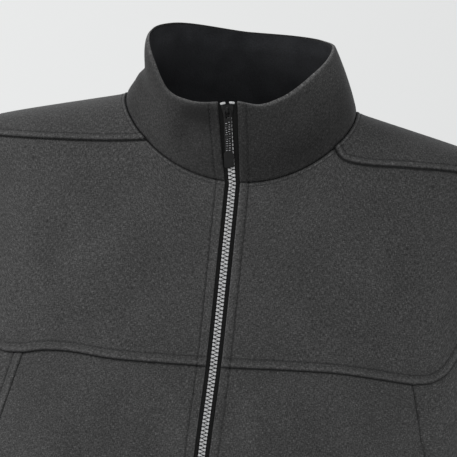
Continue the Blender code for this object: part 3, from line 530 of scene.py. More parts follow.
PUCKER_HEIGHT = 0.00022  # of the waves that a stitch line draws in the cloth
PUCKER_WAVES = (410.0, 263.0, 171.0)  # radians a metre along the seam
PUCKER_REACH = 0.006
PUCKER_CLEAR = 0.002  # of the edge itself
STEEPEST = 40  # exponent that a lap's fade stops at
ROLL_ROWS = (0.12, 0.35, 0.70, 1.10)  # shares of the roll
STITCH_ROWS = (-0.0024, -0.0014, -0.0007, 0.0, 0.0007, 0.0014, 0.0024, 0.0038)
THREAD_RISE = 0.00008
STITCH_CLEAR = 0.0017  # of a stitch line's ends from the edges it runs up to
STITCH_STRAY = 6  # parts of its distance from the edge, of which it may stray one
ROW_SPACING = 0.00015  # least distance between two rows beside an edge
TINY_SQUARE = 1e-18


def nearest_on(points, line):
    """Distance from each point of a grid to a line through points, and how far along the line that is."""
    step = np.diff(line, axis=0)
    squared = np.maximum((step**2).sum(-1), TINY_SQUARE)
    length = np.sqrt(squared)
    start = np.concatenate([[0], np.cumsum(length)[:-1]])
    distance = np.empty(points.shape[:2])
    along = np.empty(points.shape[:2])
    for i, row in enumerate(points):
        off = row[:, None] - line[None, :-1]
        share = np.clip((off * step).sum(-1) / squared, 0, 1)
        gap = np.linalg.norm(off - share[..., None] * step, axis=-1)
        best = gap.argmin(1)
        j = np.arange(len(row))
        distance[i] = gap[j, best]
        along[i] = start[best] + share[j, best] * length[best]
    return distance, along


def bell(distance, width):
    return np.exp(-((distance / width) ** 2))


def roll_in(distance, roll):
    """Share of its radius by which a rolled edge has turned in at a distance from its tip."""
    bend = 1 - np.clip(distance / roll, 0, 1)
    return 1 - np.sqrt(1 - bend**2)


def edge_relief(distance, along, finish):
    """How far a sewn or turned edge moves the cloth's face out."""
    moved = -finish.roll * roll_in(distance, finish.roll)
    moved -= finish.sink * bell(distance, SINK_REACH)
    if finish.stitch:
        past = distance - finish.stitch
        moved += finish.lap / (1 + np.exp(np.clip((past - LAP_EASE) / LAP_FADE, -STEEPEST, STEEPEST)))
        moved -= PINCH_DEPTH * bell(past, PINCH_REACH)
        waves = sum(np.sin(wave * along + i) for i, wave in enumerate(PUCKER_WAVES)) / len(PUCKER_WAVES)
        moved += PUCKER_HEIGHT * waves * bell(past, PUCKER_REACH) * (1 - roll_in(distance, PUCKER_CLEAR))
    return moved


# A trim is one way of sewing along one edge of a sheet: which edge, the finish, and the line on the cloth
Trim = namedtuple("Trim", "edge finish line")
# A sheet of cloth: the surface it lies on, its places there, its trims, how its cut cloth is measured, and
# its patches of painted light and shade
Sheet = namedtuple("Sheet", "surface places trims measure nap", defaults=(None,))
SEAM_REACH = 0.0011  # how far the painted shade of a seam reaches
FOLD_REACH = 0.0019  # how far the painted highlight along a turned edge reaches
LAP_PAINTED_HIGHLIGHT = 0.34  # painted highlight on the raised part of a lap
LAP_PLACE = 0.0024  # how far in that painted highlight is palest
LAP_REACH = 0.0015
# Painted shade along each stitch line
STITCH_PAINTED_SHADE = -0.38
STITCH_REACH = 0.0008
SEAM_SHUT = 0.00003  # what is left between two sewn pieces
STITCH_LINES = []
EDGES = ("left", "right", "bottom", "top")


def on(surface, places):
    return surface(places[..., 0], places[..., 1])


def edge_rows(trims, edge):
    """Distances in from an edge at which its trims need a row of the grid."""
    finishes = [trim.finish for trim in trims if trim.edge == edge]
    rows = {0.0 if all(finish.turned for finish in finishes) else SEAM_SHUT / 2}
    for finish in finishes:
        rows |= {finish.roll * share for share in ROLL_ROWS}
        if finish.tint and not finish.turned:
            rows |= {SEAM_REACH, 2 * SEAM_REACH}
            if finish.lap:
                rows |= {LAP_PLACE + LAP_REACH * share for share in (0, 1, 2)}
        if finish.stitch:
            rows |= {finish.stitch + off for off in STITCH_ROWS}
    stitched = {trim.finish.stitch for trim in trims}
    kept = []
    for row in sorted(rows):
        if not kept or row in stitched or row - kept[-1] >= ROW_SPACING:
            kept.append(row)
    return np.array(kept)


def respaced(places, surface, axis, start, end, pitch):
    """The grid with rows at set distances from both ends of one axis, and evenly spread ones between."""
    lines = np.moveaxis(places, axis, 1)
    points = on(surface, lines)
    run = np.stack([run_along(line) for line in points])
    from_start, _ = nearest_on(points, points[:, 0])
    from_end, _ = nearest_on(points, points[:, -1])
    middle = run[:, -1].mean() - start[-1] - end[-1]
    spread = np.linspace(0, 1, max(2, round(middle / pitch)) + 1)[1:-1]
    made = []
    for line, length, near, far in zip(lines, run, from_start, from_end):
        near = np.maximum.accumulate(near)
        far = np.maximum.accumulate(far[::-1])
        first = np.interp(start, near, length)
        last = np.interp(end, far, length[-1] - length[::-1])
        at = [first, first[-1] + spread * (length[-1] - first[-1] - last[-1]), length[-1] - last[::-1]]
        at = np.concatenate(at)
        made.append(np.stack([np.interp(at, length, line[:, k]) for k in range(2)], axis=1))
    return np.moveaxis(np.stack(made), 1, axis)


def set_out(sheet, pitch):
    """The sheet with its rows and columns set out for its trims."""
    left, right, low, high = (edge_rows(sheet.trims, edge) for edge in EDGES)
    places = respaced(sheet.places, sheet.surface, 0, left, right, pitch)
    return sheet._replace(places=respaced(places, sheet.surface, 1, low, high, pitch))


def stitch_path(sheet, trim, moved, lines):
    """The row of the sheet on which a trim is stitched, as points just above the cloth."""
    rows = edge_rows(sheet.trims, trim.edge)
    k = int(np.argmin(np.abs(rows - trim.finish.stitch)))
    pick = {"left": np.s_[k], "right": np.s_[-1 - k], "bottom": np.s_[:, k], "top": np.s_[:, -1 - k]}
    places = sheet.places[pick[trim.edge]]
    base = on(sheet.surface, places)[None]
    near, _ = nearest_on(base, trim.line)
    kept = np.abs(near[0] - trim.finish.stitch) < trim.finish.stitch / STITCH_STRAY
    for other in sheet.trims:
        if other.line is not trim.line:
            kept &= nearest_on(base, other.line)[0][0] > STITCH_CLEAR
    points = sheet.surface(places[:, 0], places[:, 1], -moved[pick[trim.edge]] - THREAD_RISE)
    lines.append(points[kept])


def by_grid(points):
    """The flat measure of a sheet whose columns and rows lie along its threads."""
    flat = np.zeros((*points.shape[:2], 2))
    flat[1:, :, 0] = np.cumsum(np.linalg.norm(np.diff(points, axis=0), axis=-1).mean(1))[:, None]
    flat[:, 1:, 1] = np.cumsum(np.linalg.norm(np.diff(points, axis=1), axis=-1).mean(0))[None]
    return flat


def edge_painted_light_and_shade(distance, finish):
    """How much paler (painted highlight) or darker (painted shade) a sewn or turned edge makes the cloth."""
    tint = finish.tint * bell(distance, FOLD_REACH if finish.turned else SEAM_REACH)
    if finish.lap and not finish.turned:
        tint += LAP_PAINTED_HIGHLIGHT * bell(distance - LAP_PLACE, LAP_REACH)
    if finish.stitch:
        tint += STITCH_PAINTED_SHADE * bell(distance - finish.stitch, STITCH_REACH)
    return tint


# A sheet's points: its face and its lining, its flat measure, how far the face is moved out, and its
# painted light and shade
Cloth = namedtuple("Cloth", "face lining flat moved tint")


def cloth_points(sheet, trims, wall, lift):
    base = on(sheet.surface, sheet.places)
    moved, tint = np.zeros(base.shape[:2]), np.zeros(base.shape[:2])
    inner = np.full(base.shape[:2], wall)
    for trim in trims:
        distance, along = nearest_on(base, trim.line)
        moved += edge_relief(distance, along, trim.finish)
        # painted highlights and painted shade along the trims
        tint += edge_painted_light_and_shade(distance, trim.finish)
        if trim.finish.turned:
            inner -= (wall - trim.finish.roll - EDGE_LEFT) * roll_in(distance, trim.finish.roll)
    inner = np.maximum(inner, EDGE_LEFT - moved)
    across, up = sheet.places[..., 0], sheet.places[..., 1]
    # patches of painted light and shade, where the sheet has them
    if sheet.nap:
        tint += sheet.nap(across, up)
    face = sheet.surface(across, up, lift - moved)
    lining = sheet.surface(across, up, lift + inner)
    return Cloth(face, lining, sheet.measure(base), moved, tint)


def quad_corners(grid):
    """The four corners of every cell of a grid."""
    corners = np.stack([grid[:-1, :-1], grid[1:, :-1], grid[1:, 1:], grid[:-1, 1:]], axis=2)
    return corners.reshape(-1, 4, *grid.shape[2:])


SHARP_ANGLE = math.radians(62)


def shell_mesh(name, grids, numbers):
    """One closed shell from grids of outer and inner points. Grids that share point numbers are joined."""
    _, compact = np.unique(np.concatenate([given.ravel() for given in numbers]), return_inverse=True)
    ends = np.cumsum([given.size for given in numbers])
    parts = np.split(compact, ends[:-1])
    numbers = [part.reshape(given.shape) for part, given in zip(parts, numbers)]
    count = int(compact.max()) + 1
    outer, inner, measure = np.empty((count, 3)), np.empty((count, 3)), np.empty((count, 2))
    painted_light_and_shade_values = np.zeros(2 * count)
    quads, marks = [], []
    for cloth, at in zip(grids, numbers):
        outer[at], inner[at], measure[at] = cloth.face, cloth.lining, cloth.flat
        painted_light_and_shade_values[at] = cloth.tint
        quad, mark = quad_corners(at), quad_corners(cloth.flat)
        middle = tuple(size // 2 for size in at.shape)
        along = cloth.face[middle[0] + 1, middle[1]] - cloth.face[middle]
        up = cloth.face[middle[0], middle[1] + 1] - cloth.face[middle]
        if np.cross(along, up) @ (cloth.face[middle] - cloth.lining[middle]) < 0:
            quad, mark = quad[:, ::-1], mark[:, ::-1]
        quads.append(quad)
        marks.append(mark)
    quads, marks = np.concatenate(quads), np.concatenate(marks)
    edges = np.stack([quads, np.roll(quads, -1, axis=1)], axis=-1).reshape(-1, 2)
    one_way, other_way = edges[:, 0] * count + edges[:, 1], edges[:, 1] * count + edges[:, 0]
    rim = edges[~np.isin(other_way, one_way)]
    border = np.stack([rim[:, 1], rim[:, 0], rim[:, 0] + count, rim[:, 1] + count], axis=1)
    faces = np.concatenate([quads, quads[:, ::-1] + count, border])
    flat = np.concatenate([marks, marks[:, ::-1], measure[border % count]])
    mesh = bpy.data.meshes.new(name)
    mesh.from_pydata(np.concatenate([outer, inner]).tolist(), [], faces.tolist())
    mesh.uv_layers.new(name="cloth").data.foreach_set("uv", flat.ravel())
    # Painted light and shade, one value a point, for the cloth's shader
    mesh.attributes.new("tint", "FLOAT", "POINT").data.foreach_set("value", painted_light_and_shade_values)
    mesh.shade_smooth()
    mesh.set_sharp_from_angle(angle=SHARP_ANGLE)
    return mesh


def numbered(sheet, first=0):
    """A number for each point of a sheet, from the first one on."""
    shape = sheet.places.shape[:2]
    return first + np.arange(shape[0] * shape[1]).reshape(shape)


def cloth_piece(node, sheets, material, numbers=None, wall=WALL, lift=0.0):
    """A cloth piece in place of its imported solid, and its stitch lines."""
    trims = {id(trim.line): trim for sheet in sheets for trim in sheet.trims}.values()
    grids = [cloth_points(sheet, trims, wall, lift) for sheet in sheets]
    for sheet, grid in zip(sheets, grids):
        for trim in sheet.trims:
            if trim.finish.stitch:
                stitch_path(sheet, trim, grid.moved, STITCH_LINES)
    numbers = numbers or [numbered(sheets[0])]
    made = new_object(f"{node}_cloth", shell_mesh(f"{node}_cloth", grids, numbers), material)
    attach(made, "vest")
    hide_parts(node)
    return made


# The cloth's face is a fine melange: dark and pale fibres lie lengthwise and crosswise over a faint rib
FIBRE_WIDTH = 0.0008
FIBRE_LENGTH = 0.0026
CLUSTER_SIZE = 0.006
PATCH_SIZE = 0.055
RIB_PITCH = 0.0016
RIB_SHARE = 0.35  # of the cloth's height
FIBRE_CONTRAST = 2.9
PATCH_CONTRAST = 0.6
DARKEST = 0.05  # share of its tone that the painted shade leaves, deep in a seam


def flat_place(tree):
    """The place on the flat cut cloth."""
    return add_node(tree, "ShaderNodeUVMap", uv_map="cloth").outputs["UV"]


def measured_in(tree, place, size):
    """A place counted in steps of this size."""
    scale = tuple(1 / length for length in size)
    return add_node(tree, "ShaderNodeVectorMath", {0: place, 1: scale}, operation="MULTIPLY").outputs[0]


def noise(tree, place, scale, detail, roughness=0.5):
    inputs = {"Vector": place, "Scale": scale, "Detail": detail, "Roughness": roughness}
    return add_node(tree, "ShaderNodeTexNoise", inputs).outputs["Fac"]


def emboss(tree, shader, height, distance, strength):
    """Gives a shader a bump."""
    bump = add_node(tree, "ShaderNodeBump", {"Height": height, "Distance": distance, "Strength": strength})
    tree.links.new(bump.outputs[0], shader.inputs["Normal"])


def melange_group():
    tree = bpy.data.node_groups.new("melange_fibres", "ShaderNodeTree")
    socket = tree.interface.new_socket
    socket("Flat place", in_out="INPUT", socket_type="NodeSocketVector")
    socket("Fibre contrast", in_out="INPUT", socket_type="NodeSocketFloat")
    socket("Patch contrast", in_out="INPUT", socket_type="NodeSocketFloat")
    socket("Tone", in_out="OUTPUT", socket_type="NodeSocketFloat")
    socket("Height", in_out="OUTPUT", socket_type="NodeSocketFloat")
    given = add_node(tree, "NodeGroupInput").outputs

    def fibres(width, length, detail):
        place = measured_in(tree, given["Flat place"], (width, length, 1))
        return number(tree, "SUBTRACT", noise(tree, place, 1.0, detail, roughness=0.6), 0.5)

    lengthwise = fibres(FIBRE_WIDTH, FIBRE_LENGTH, 2.0)
    crosswise = fibres(FIBRE_LENGTH, FIBRE_WIDTH, 2.0)
    clusters = fibres(CLUSTER_SIZE, CLUSTER_SIZE, 3.0)
    patches = fibres(PATCH_SIZE, PATCH_SIZE, 2.0)
    fine = number(tree, "ADD", lengthwise, crosswise)
    broad = number(tree, "ADD", clusters, patches)
    uneven = number(tree, "MULTIPLY", fine, given["Fibre contrast"])
    uneven = number(tree, "ADD", uneven, number(tree, "MULTIPLY", broad, given["Patch contrast"]))
    tone = number(tree, "POWER", math.e, uneven)
    ribbed = measured_in(tree, given["Flat place"], (RIB_PITCH, 2 * RIB_PITCH, 1))
    wave = {"Vector": ribbed, "Scale": 1.0, "Distortion": 1.5, "Detail": 1.0, "Detail Scale": 1.0}
    rib = add_node(tree, "ShaderNodeTexWave", wave, bands_direction="DIAGONAL").outputs["Fac"]
    height = number(tree, "ADD", fine, number(tree, "MULTIPLY", rib, RIB_SHARE))
    add_node(tree, "NodeGroupOutput", {"Tone": tone, "Height": height})
    return tree


MELANGE = melange_group()


def softshell(name, colour, contrast):
    """Bonded cloth with a melange face, dull, with the faint bloom of loose fibre ends."""
    constants = {
        "Roughness": 0.92,
        "Specular IOR Level": 0.25,
        "Sheen Weight": 0.12,
        "Sheen Roughness": 0.45,
        "Sheen Tint": (0.8, 0.8, 0.82, 1),
    }
    material, tree, shader = new_material(name, constants)
    group = tree.nodes.new("ShaderNodeGroup")
    group.node_tree = MELANGE
    tree.links.new(flat_place(tree), group.inputs["Flat place"])
    group.inputs["Fibre contrast"].default_value = contrast
    group.inputs["Patch contrast"].default_value = PATCH_CONTRAST
    # Painted light and shade from the point attribute: darker in seams and stitch lines, paler on laps and
    # folds, and in patches on the collar
    tint = add_node(tree, "ShaderNodeAttribute", attribute_name="tint").outputs["Fac"]
    tint = number(tree, "MAXIMUM", number(tree, "ADD", tint, 1.0), DARKEST)
    tone = number(tree, "MULTIPLY", group.outputs["Tone"], tint)
    tone = add_node(tree, "ShaderNodeVectorMath", {0: colour, "Scale": tone}, operation="SCALE")
    tree.links.new(tone.outputs[0], shader.inputs["Base Color"])
    emboss(tree, shader, group.outputs["Height"], distance=0.0003, strength=0.5)
    return material


CHARCOAL = softshell("charcoal_softshell", (0.0447, 0.0443, 0.0443), FIBRE_CONTRAST)


def front_panel(node, side, places, trims):
    """A panel of the front. Its places and those of its trims are (angle, height) on the wearer's left."""
    trims = [trim._replace(line=on(torso, sided(side, trim.line))) for trim in trims]
    sheet = Sheet(torso, sided(side, places), trims, by_grid)
    made = cloth_piece(node, [set_out(sheet, CLOTH_PITCH)], CHARCOAL)
    return made


def make_chest(side):
    inner, outer = chest_seam(side)
    bottom = np.concatenate([inner, outer[1:]])
    neck, shoulder = neck_front(side), shoulder_seam(side)
    top = np.concatenate([neck, shoulder[1:]])
    left = front_edge(side, bottom[0, 1], top[0, 1])
    armhole = armhole_line(FRONT_ARMHOLE_HIGH)
    right = np.stack([on(torso, armhole)[:, 0], armhole[:, 1]], axis=-1)
    trims = (
        Trim("left", BESIDE_ZIP, as_angles(left)),
        Trim("bottom", LAPPED_CHEST, as_angles(bottom)),
        Trim("top", BESIDE_COLLAR, as_angles(neck)),
        Trim("top", UNDER_LAP, as_angles(shoulder)),
        Trim("right", ARMHOLE, armhole),
    )
    made = front_panel(f"chest_{side}", side, as_angles(blend(bottom, top, left, right)), trims)


for wearer_side in SIDES:
    make_chest(wearer_side)

# Lower fronts: one softshell panel on each side of the zip, from the chest seam down to the turned hem. Each
# is sewn to its side panel along the princess seam, which is pressed flat, and tucked under the chest panel.

PRINCESS_SEAM = {
    "left": (
        (0.1670, -0.1972),
        (0.1730, -0.2220),
        (0.1828, -0.2600),
        (0.1900, -0.3200),
        (0.1945, -0.4300),
        (0.1950, HEM_HEIGHT),
    ),
    "right": (
        (0.1655, -0.1990),
        (0.1734, -0.2282),
        (0.1815, -0.2586),
        (0.1895, -0.3200),
        (0.1945, -0.4300),
        (0.1950, HEM_HEIGHT),
    ),
}
PRESSED = Finish(0.0011, 0, 0.0005, 0, False, -0.40)
HEM = Finish(0.0012, 0.0004, 0, 0.0200, True, 0.25)


def princess_seam(side):
    """(angle, height) of the princess seam, upwards."""
    return as_angles(evenly_along(PRINCESS_SEAM[side], FINE)[::-1])


def between(left, right, count):
    """Places on a straight line between two of them."""
    share = np.linspace(0, 1, count)[:, None]
    return (1 - share) * left + share * right


def make_lower_front(side):
    top = as_angles(chest_seam(side)[0])
    right = princess_seam(side)
    left = as_angles(front_edge(side, HEM_HEIGHT, top[0, 1]))
    bottom = between(left[0], right[0], len(top))
    trims = (
        Trim("left", BESIDE_ZIP, left),
        Trim("top", UNDER_LAP, top),
        Trim("right", PRESSED, right),
        Trim("bottom", HEM, bottom),
    )
    made = front_panel(f"front_{side}", side, blend(bottom, top, left, right), trims)


for wearer_side in SIDES:
    make_lower_front(wearer_side)

# Side panels: a softshell panel under each arm, between the princess seam and the side seam. Its upper edge
# is tucked under the chest panel in front and turned in along the armhole.

ARMHOLE_DEPTH = 0.262  # from the neck point down to the armpit
ARMPIT_HEIGHT = NECK_POINT_HEIGHT - ARMHOLE_DEPTH
# The armhole's edge from the armpit up to the chest seam
FRONT_ARMHOLE_LOW = (
    (0.0000, ARMPIT_HEIGHT),
    (0.0260, -0.2330),
    (0.0460, -0.2120),
    (0.0570, -0.1850),
    (0.0605, -0.1580),
)
STITCHED_SEAM = Finish(0.0011, 0.0003, 0, 0.0077, False, -0.30)
PRINCESS_FINISH = {"left": PRESSED, "right": STITCHED_SEAM}


def side_seam():
    """(angle, height) of the side seam on the wearer's left, upwards."""
    heights = np.linspace(HEM_HEIGHT, ARMPIT_HEIGHT, FINE + 1)
    return np.stack([np.full_like(heights, math.pi / 2), heights], axis=-1)


def make_side(side):
    seam = as_angles(chest_seam(side)[1])
    armhole = armhole_line(FRONT_ARMHOLE_LOW[::-1])
    top = np.concatenate([seam, armhole[1:]])
    left, right = princess_seam(side), side_seam()
    bottom = between(left[0], right[0], len(top))
    trims = (
        Trim("left", PRINCESS_FINISH[side], left),
        Trim("right", PRESSED, right),
        Trim("top", UNDER_LAP, seam),
        Trim("top", ARMHOLE, armhole),
        Trim("bottom", HEM, bottom),
    )
    made = front_panel(f"side_{side}", side, blend(bottom, top, left, right), trims)


for wearer_side in SIDES:
    make_side(wearer_side)

# Back: one softshell panel with both shoulders, which come forward over the ridge and lap onto the chest
# panels, topstitched along the lap. The armholes and the hem are turned in and stitched down.

BACK_ARMHOLE_LOW = (
    (0.0000, ARMPIT_HEIGHT),
    (0.0260, -0.2335),
    (0.0460, -0.2130),
    (0.0580, -0.1850),
    (0.0615, -0.1580),
    (0.0585, -0.1100),
)
BACK_ARMHOLE_HIGH = ((0.0585, -0.1100), (0.0480, -0.0600), (0.0340, -0.0250))
RIDGE_END = 0.2175  # how far out the armhole crosses the shoulder ridge
BACK_TURN = math.radians(118)  # round the neck seam, where the shoulder part runs into the back
SEAM_LEAN = ((0.0, 0.1, 0.2, 0.3), (1.0, 0.6, 0.25, 0.0))  # how far the columns follow the seam's curve
JOINED_COLUMNS = 96
RIDGE_HALVINGS = 50
BACK_PITCH = 0.0046
ONE_ROW = np.zeros(1)
LAPPED_SHOULDER = Finish(0.0011, 0.0013, 0, 0.0061, False, -0.95)


def ridge_height(across):
    """Height of the shoulder ridge at this distance from the middle."""
    low = np.full_like(np.asarray(across, float), ARMPIT_HEIGHT)
    high = np.full_like(low, NECK_POINT_HEIGHT + NECK_HALF_WIDTH * math.tan(SHOULDER_SLOPE))
    for _ in range(RIDGE_HALVINGS):
        middle = (low + high) / 2
        wide = reach(middle) > across
        low = np.where(wide, middle, low)
        high = np.where(wide, high, middle)
    return (low + high) / 2


def arch_place(across, height, behind):
    """(across, arch) of a torso point: the arch is the root of its drop below the ridge, minus in front."""
    drop = np.maximum(ridge_height(np.abs(across)) - height, 0)
    return np.stack([across, np.sqrt(drop) * np.where(behind, 1, -1)], axis=-1)


def over_shoulder(across, arch, inward=0.0):
    """Points of the torso at an (across, arch) place, moved inward by a distance."""
    height = ridge_height(np.abs(across)) - arch**2
    return torso(angle_at(across, height, arch > 0), height, inward)


def from_ridge(points):
    """The flat measure of cloth that lies over the shoulder ridge: across, and back from the ridge."""
    across, off, height = np.moveaxis(points, -1, 0)
    drop = ridge_height(np.abs(across)) - height
    return np.stack([across, np.hypot(off, drop) * np.sign(off)], axis=-1)


def set_out_joined(sheet, near, pitch):
    """The sheet set out for its trims beyond its middle columns, and the first of these, kept as they are."""
    far = near + JOINED_COLUMNS
    left, right, low, high = (edge_rows(sheet.trims, edge) for edge in EDGES)
    first = respaced(sheet.places[: near + 1], sheet.surface, 0, left, ONE_ROW, pitch)
    last = respaced(sheet.places[far:], sheet.surface, 0, ONE_ROW, right, pitch)
    places = np.concatenate([first[:-1], sheet.places[near : far + 1], last[1:]])
    return sheet._replace(places=respaced(places, sheet.surface, 1, low, high, pitch)), len(first) - 1


def make_back():
    front_end = edge_across(*FRONT_ARMHOLE_HIGH[-1])
    over = [arch_place(*front_end, False), np.array([RIDGE_END, 0.0])]
    over += [arch_place(*edge_across(*point, True), True) for point in BACK_ARMHOLE_HIGH[::-1]]
    over = evenly_along(over, FINE)
    join_across = np.linspace(over[-1, 0], -over[-1, 0], JOINED_COLUMNS + 1)
    join_height = BACK_ARMHOLE_LOW[-1][1]
    join_heights = np.full_like(join_across, join_height)
    join = arch_place(join_across, join_heights, True)
    outer = np.concatenate([over, join[1:-1], mirrored(over[::-1])])
    starts = {side: math.asin(SHOULDER_SEAM_START[side] / NECK_HALF_WIDTH) for side in SIDES}
    back_turns = np.linspace(BACK_TURN, 2 * math.pi - BACK_TURN, JOINED_COLUMNS + 1)
    turns = [
        np.linspace(starts["left"], BACK_TURN, FINE + 1),
        back_turns[1:-1],
        2 * math.pi - np.linspace(BACK_TURN, starts["right"], FINE + 1),
    ]
    neck = arch_place(*neckline(np.concatenate(turns)))
    spokes = np.linspace(0, 1, FINE + 1)[None, :, None]
    shoulder_places = (1 - spokes) * neck[:, None] + spokes * outer[:, None]
    seams = {}
    lean = np.interp(np.arange(FINE) / FINE, *SEAM_LEAN)
    for side, columns in (("left", range(FINE)), ("right", range(-1, -1 - FINE, -1))):
        seams[side] = sided(side, arch_place(*shoulder_seam(side).T, False))
        bend = seams[side] - ((1 - spokes[0]) * seams[side][0] + spokes[0] * seams[side][-1])
        for column, share in zip(columns, lean):
            shoulder_places[column] += share * bend

    edge = armhole_line(BACK_ARMHOLE_LOW, True)
    far_edge = np.stack([2 * math.pi - edge[::-1, 0], edge[::-1, 1]], axis=-1)
    middle = angle_at(join_across, join_heights, True)
    middle = np.stack([np.where(middle < 0, middle + 2 * math.pi, middle), join_heights], axis=-1)
    top = np.concatenate([edge, middle[1:-1], far_edge])
    left = side_seam()
    right = np.stack([2 * math.pi - left[:, 0], left[:, 1]], axis=-1)
    bottom = between(left[0], right[0], len(top))

    around = [np.concatenate([on(torso, edge), on(over_shoulder, over[::-1])[1:]])]
    around.append(around[0] * np.array([-1, 1, 1]))
    armholes = [Trim("top", ARMHOLE, line) for line in around]
    body_trims = [
        Trim("left", PRESSED, on(torso, left)),
        Trim("right", PRESSED, on(torso, right)),
        Trim("bottom", HEM, on(torso, bottom)),
    ]
    shoulder_trims = [
        Trim("left", LAPPED_SHOULDER, on(over_shoulder, seams["left"])),
        Trim("right", LAPPED_SHOULDER, on(over_shoulder, seams["right"])),
        Trim("bottom", BESIDE_COLLAR, on(over_shoulder, neck)),
    ]
    body = Sheet(torso, blend(bottom, top, left, right), [*body_trims, *armholes], by_grid)
    shoulders = Sheet(over_shoulder, shoulder_places, [*shoulder_trims, *armholes], from_ridge)
    body, body_first = set_out_joined(body, FINE, BACK_PITCH)
    shoulders, shoulder_first = set_out_joined(shoulders, FINE, BACK_PITCH)
    body_numbers = numbered(body)
    shoulder_numbers = numbered(shoulders, body_numbers.size)
    width = JOINED_COLUMNS + 1
    shared = body_numbers[body_first : body_first + width, -1]
    shoulder_numbers[shoulder_first : shoulder_first + width, -1] = shared
    made = cloth_piece("back", [body, shoulders], CHARCOAL, [body_numbers, shoulder_numbers])


make_back()

# Collar: a stand collar of the same softshell, sewn into the neck seam and folded over along its top edge.
# Its two ends are turned in beside the zip and stitched down, as the fronts are.

COLLAR_TOP_HALF_WIDTH = 0.0820
COLLAR_TOP_FRONT = 0.0660
COLLAR_TOP_BACK = 0.0520
COLLAR_TOP_ZIP_HALF_GAP = 0.0085
COLLAR_LEAN = -0.0055  # the top edge stands this far to the wearer's right
COLLAR_TWIST = math.radians(-4.1)  # and is turned this far round
COLLAR_BULGE = 0.0020
# Top edge: angle from the middle front and height
COLLAR_TOP = (
    (-180, 0.0798),
    (-125, 0.0826),
    (-90, 0.0735),
    (-58, 0.0520),
    (-40, 0.0304),
    (-26, 0.0245),
    (-4, 0.0263),
    (6, 0.0278),
    (20, 0.0262),
    (34, 0.0328),
    (62, 0.0581),
    (90, 0.0755),
    (120, 0.0800),
    (180, 0.0798),
)
ROLL_HOLD = 0.5  # how soon a roll rises from the collar's two held edges
# Soft rolls of the collar, by share of its height, and how far they move it out
COLLAR_ROLLS = (
    Patch(-104, 0.50, 46, 0.34, -0.0120),
    Patch(-98, 0.35, 34, 0.09, 0.0022),
    Patch(36, 0.80, 22, 0.30, -0.0025),
    Patch(-24, 0.58, 9.5, 0.28, -0.0055),
    Patch(150, 0.45, 30, 0.40, -0.0020),
)
# Patches of painted light and shade on the collar, and how much paler (plus) or darker (minus) each makes it
COLLAR_PAINTED_LIGHT_AND_SHADE = (
    Patch(-22, 0.82, 8, 0.18, -0.62),
    Patch(-10, 0.83, 8, 0.22, -0.62),
    Patch(-25, 0.52, 7, 0.16, -0.22),
    Patch(-52, 0.45, 22, 0.60, 0.46),
    Patch(68, 1.00, 26, 0.45, 0.80),
    Patch(38, 0.22, 28, 0.32, -0.38),
    Patch(150, 0.70, 24, 0.40, 0.20),
    Patch(-150, 0.30, 26, 0.30, -0.20),
)
SMALL_TURN = 1e-3
COLLAR_COLUMNS = 240
COLLAR_ROWS = 30
COLLAR_PITCH = 0.0032
INTO_COLLAR = Finish(0.0010, 0, 0.0008, 0, False, -0.75)
# a strong painted highlight along the collar's top fold
COLLAR_FOLD = Finish(0.0025, 0, 0, 0, True, 2.3)
COLLAR_CONTRAST = 2.7  # of its fibres, which lie closer


def collar_sheet(turn, share):
    """Points of the collar's outer face at a turn from the middle front and a share of its height."""
    across, base_height, behind = neckline(turn)
    base = torso(angle_at(across, base_height, behind), base_height)
    top_zip_turn = math.asin(COLLAR_TOP_ZIP_HALF_GAP / COLLAR_TOP_HALF_WIDTH)
    size = np.abs(np.where(turn > math.pi, turn - 2 * math.pi, turn))
    run = np.maximum(size - ZIP_TURN, 0) / (math.pi - ZIP_TURN)
    near_zip = np.minimum(size / ZIP_TURN, 1)
    top_turn = near_zip * (top_zip_turn + run * (math.pi - top_zip_turn))
    top_turn = top_turn * np.where(np.sin(turn) < 0, -1, 1)
    top_depth = np.where(np.cos(top_turn) > 0, COLLAR_TOP_FRONT, COLLAR_TOP_BACK)
    across = COLLAR_TOP_HALF_WIDTH * np.sin(top_turn)
    off = -top_depth * np.cos(top_turn)
    cosine, sine = math.cos(COLLAR_TWIST), math.sin(COLLAR_TWIST)
    height = smooth_through(*np.transpose(COLLAR_TOP), np.degrees(top_turn))
    top = np.stack(
        [cosine * across - sine * off + COLLAR_LEAN, sine * across + cosine * off, height], axis=-1
    )
    out = np.stack([np.sin(turn), -np.cos(turn), np.zeros_like(turn)], axis=-1)
    held = np.sin(math.pi * np.clip(share, 0, 1)) ** ROLL_HOLD
    bulge = COLLAR_BULGE * 4 * share * (1 - share) + held * patched(turn, share, COLLAR_ROLLS)
    share = share[..., None]
    return (1 - share) * base + share * top + out * bulge[..., None]


def collar(turn, share, inward=0.0):
    """Points of the collar moved inward from its outer face."""
    turn, share = np.asarray(turn, float), np.asarray(share, float)
    step = SMALL_TURN
    point = collar_sheet(turn, share)
    along = collar_sheet(turn + step, share) - collar_sheet(turn - step, share)
    up = collar_sheet(turn, share + step) - collar_sheet(turn, share - step)
    normal = np.cross(along, up)
    normal /= np.linalg.norm(normal, axis=-1, keepdims=True)
    return point - normal * np.asarray(inward)[..., None]


def collar_places(first_turn, low_share, top_share):
    turns = np.linspace(first_turn, 2 * math.pi - first_turn, COLLAR_COLUMNS + 1)
    shares = np.linspace(low_share, top_share, COLLAR_ROWS + 1)
    return np.stack(np.meshgrid(turns, shares, indexing="ij"), axis=-1)


# Painted light and shade of the collar at a place on it
def collar_painted_light_and_shade(turn, share):
    return patched(turn, share, COLLAR_PAINTED_LIGHT_AND_SHADE)


def trimmed(surface, places, finishes):
    """A trim along each edge of a grid of places."""
    edges = {"left": places[0], "right": places[-1], "bottom": places[:, 0], "top": places[:, -1]}
    return [Trim(edge, finish, on(surface, edges[edge])) for edge, finish in finishes.items()]


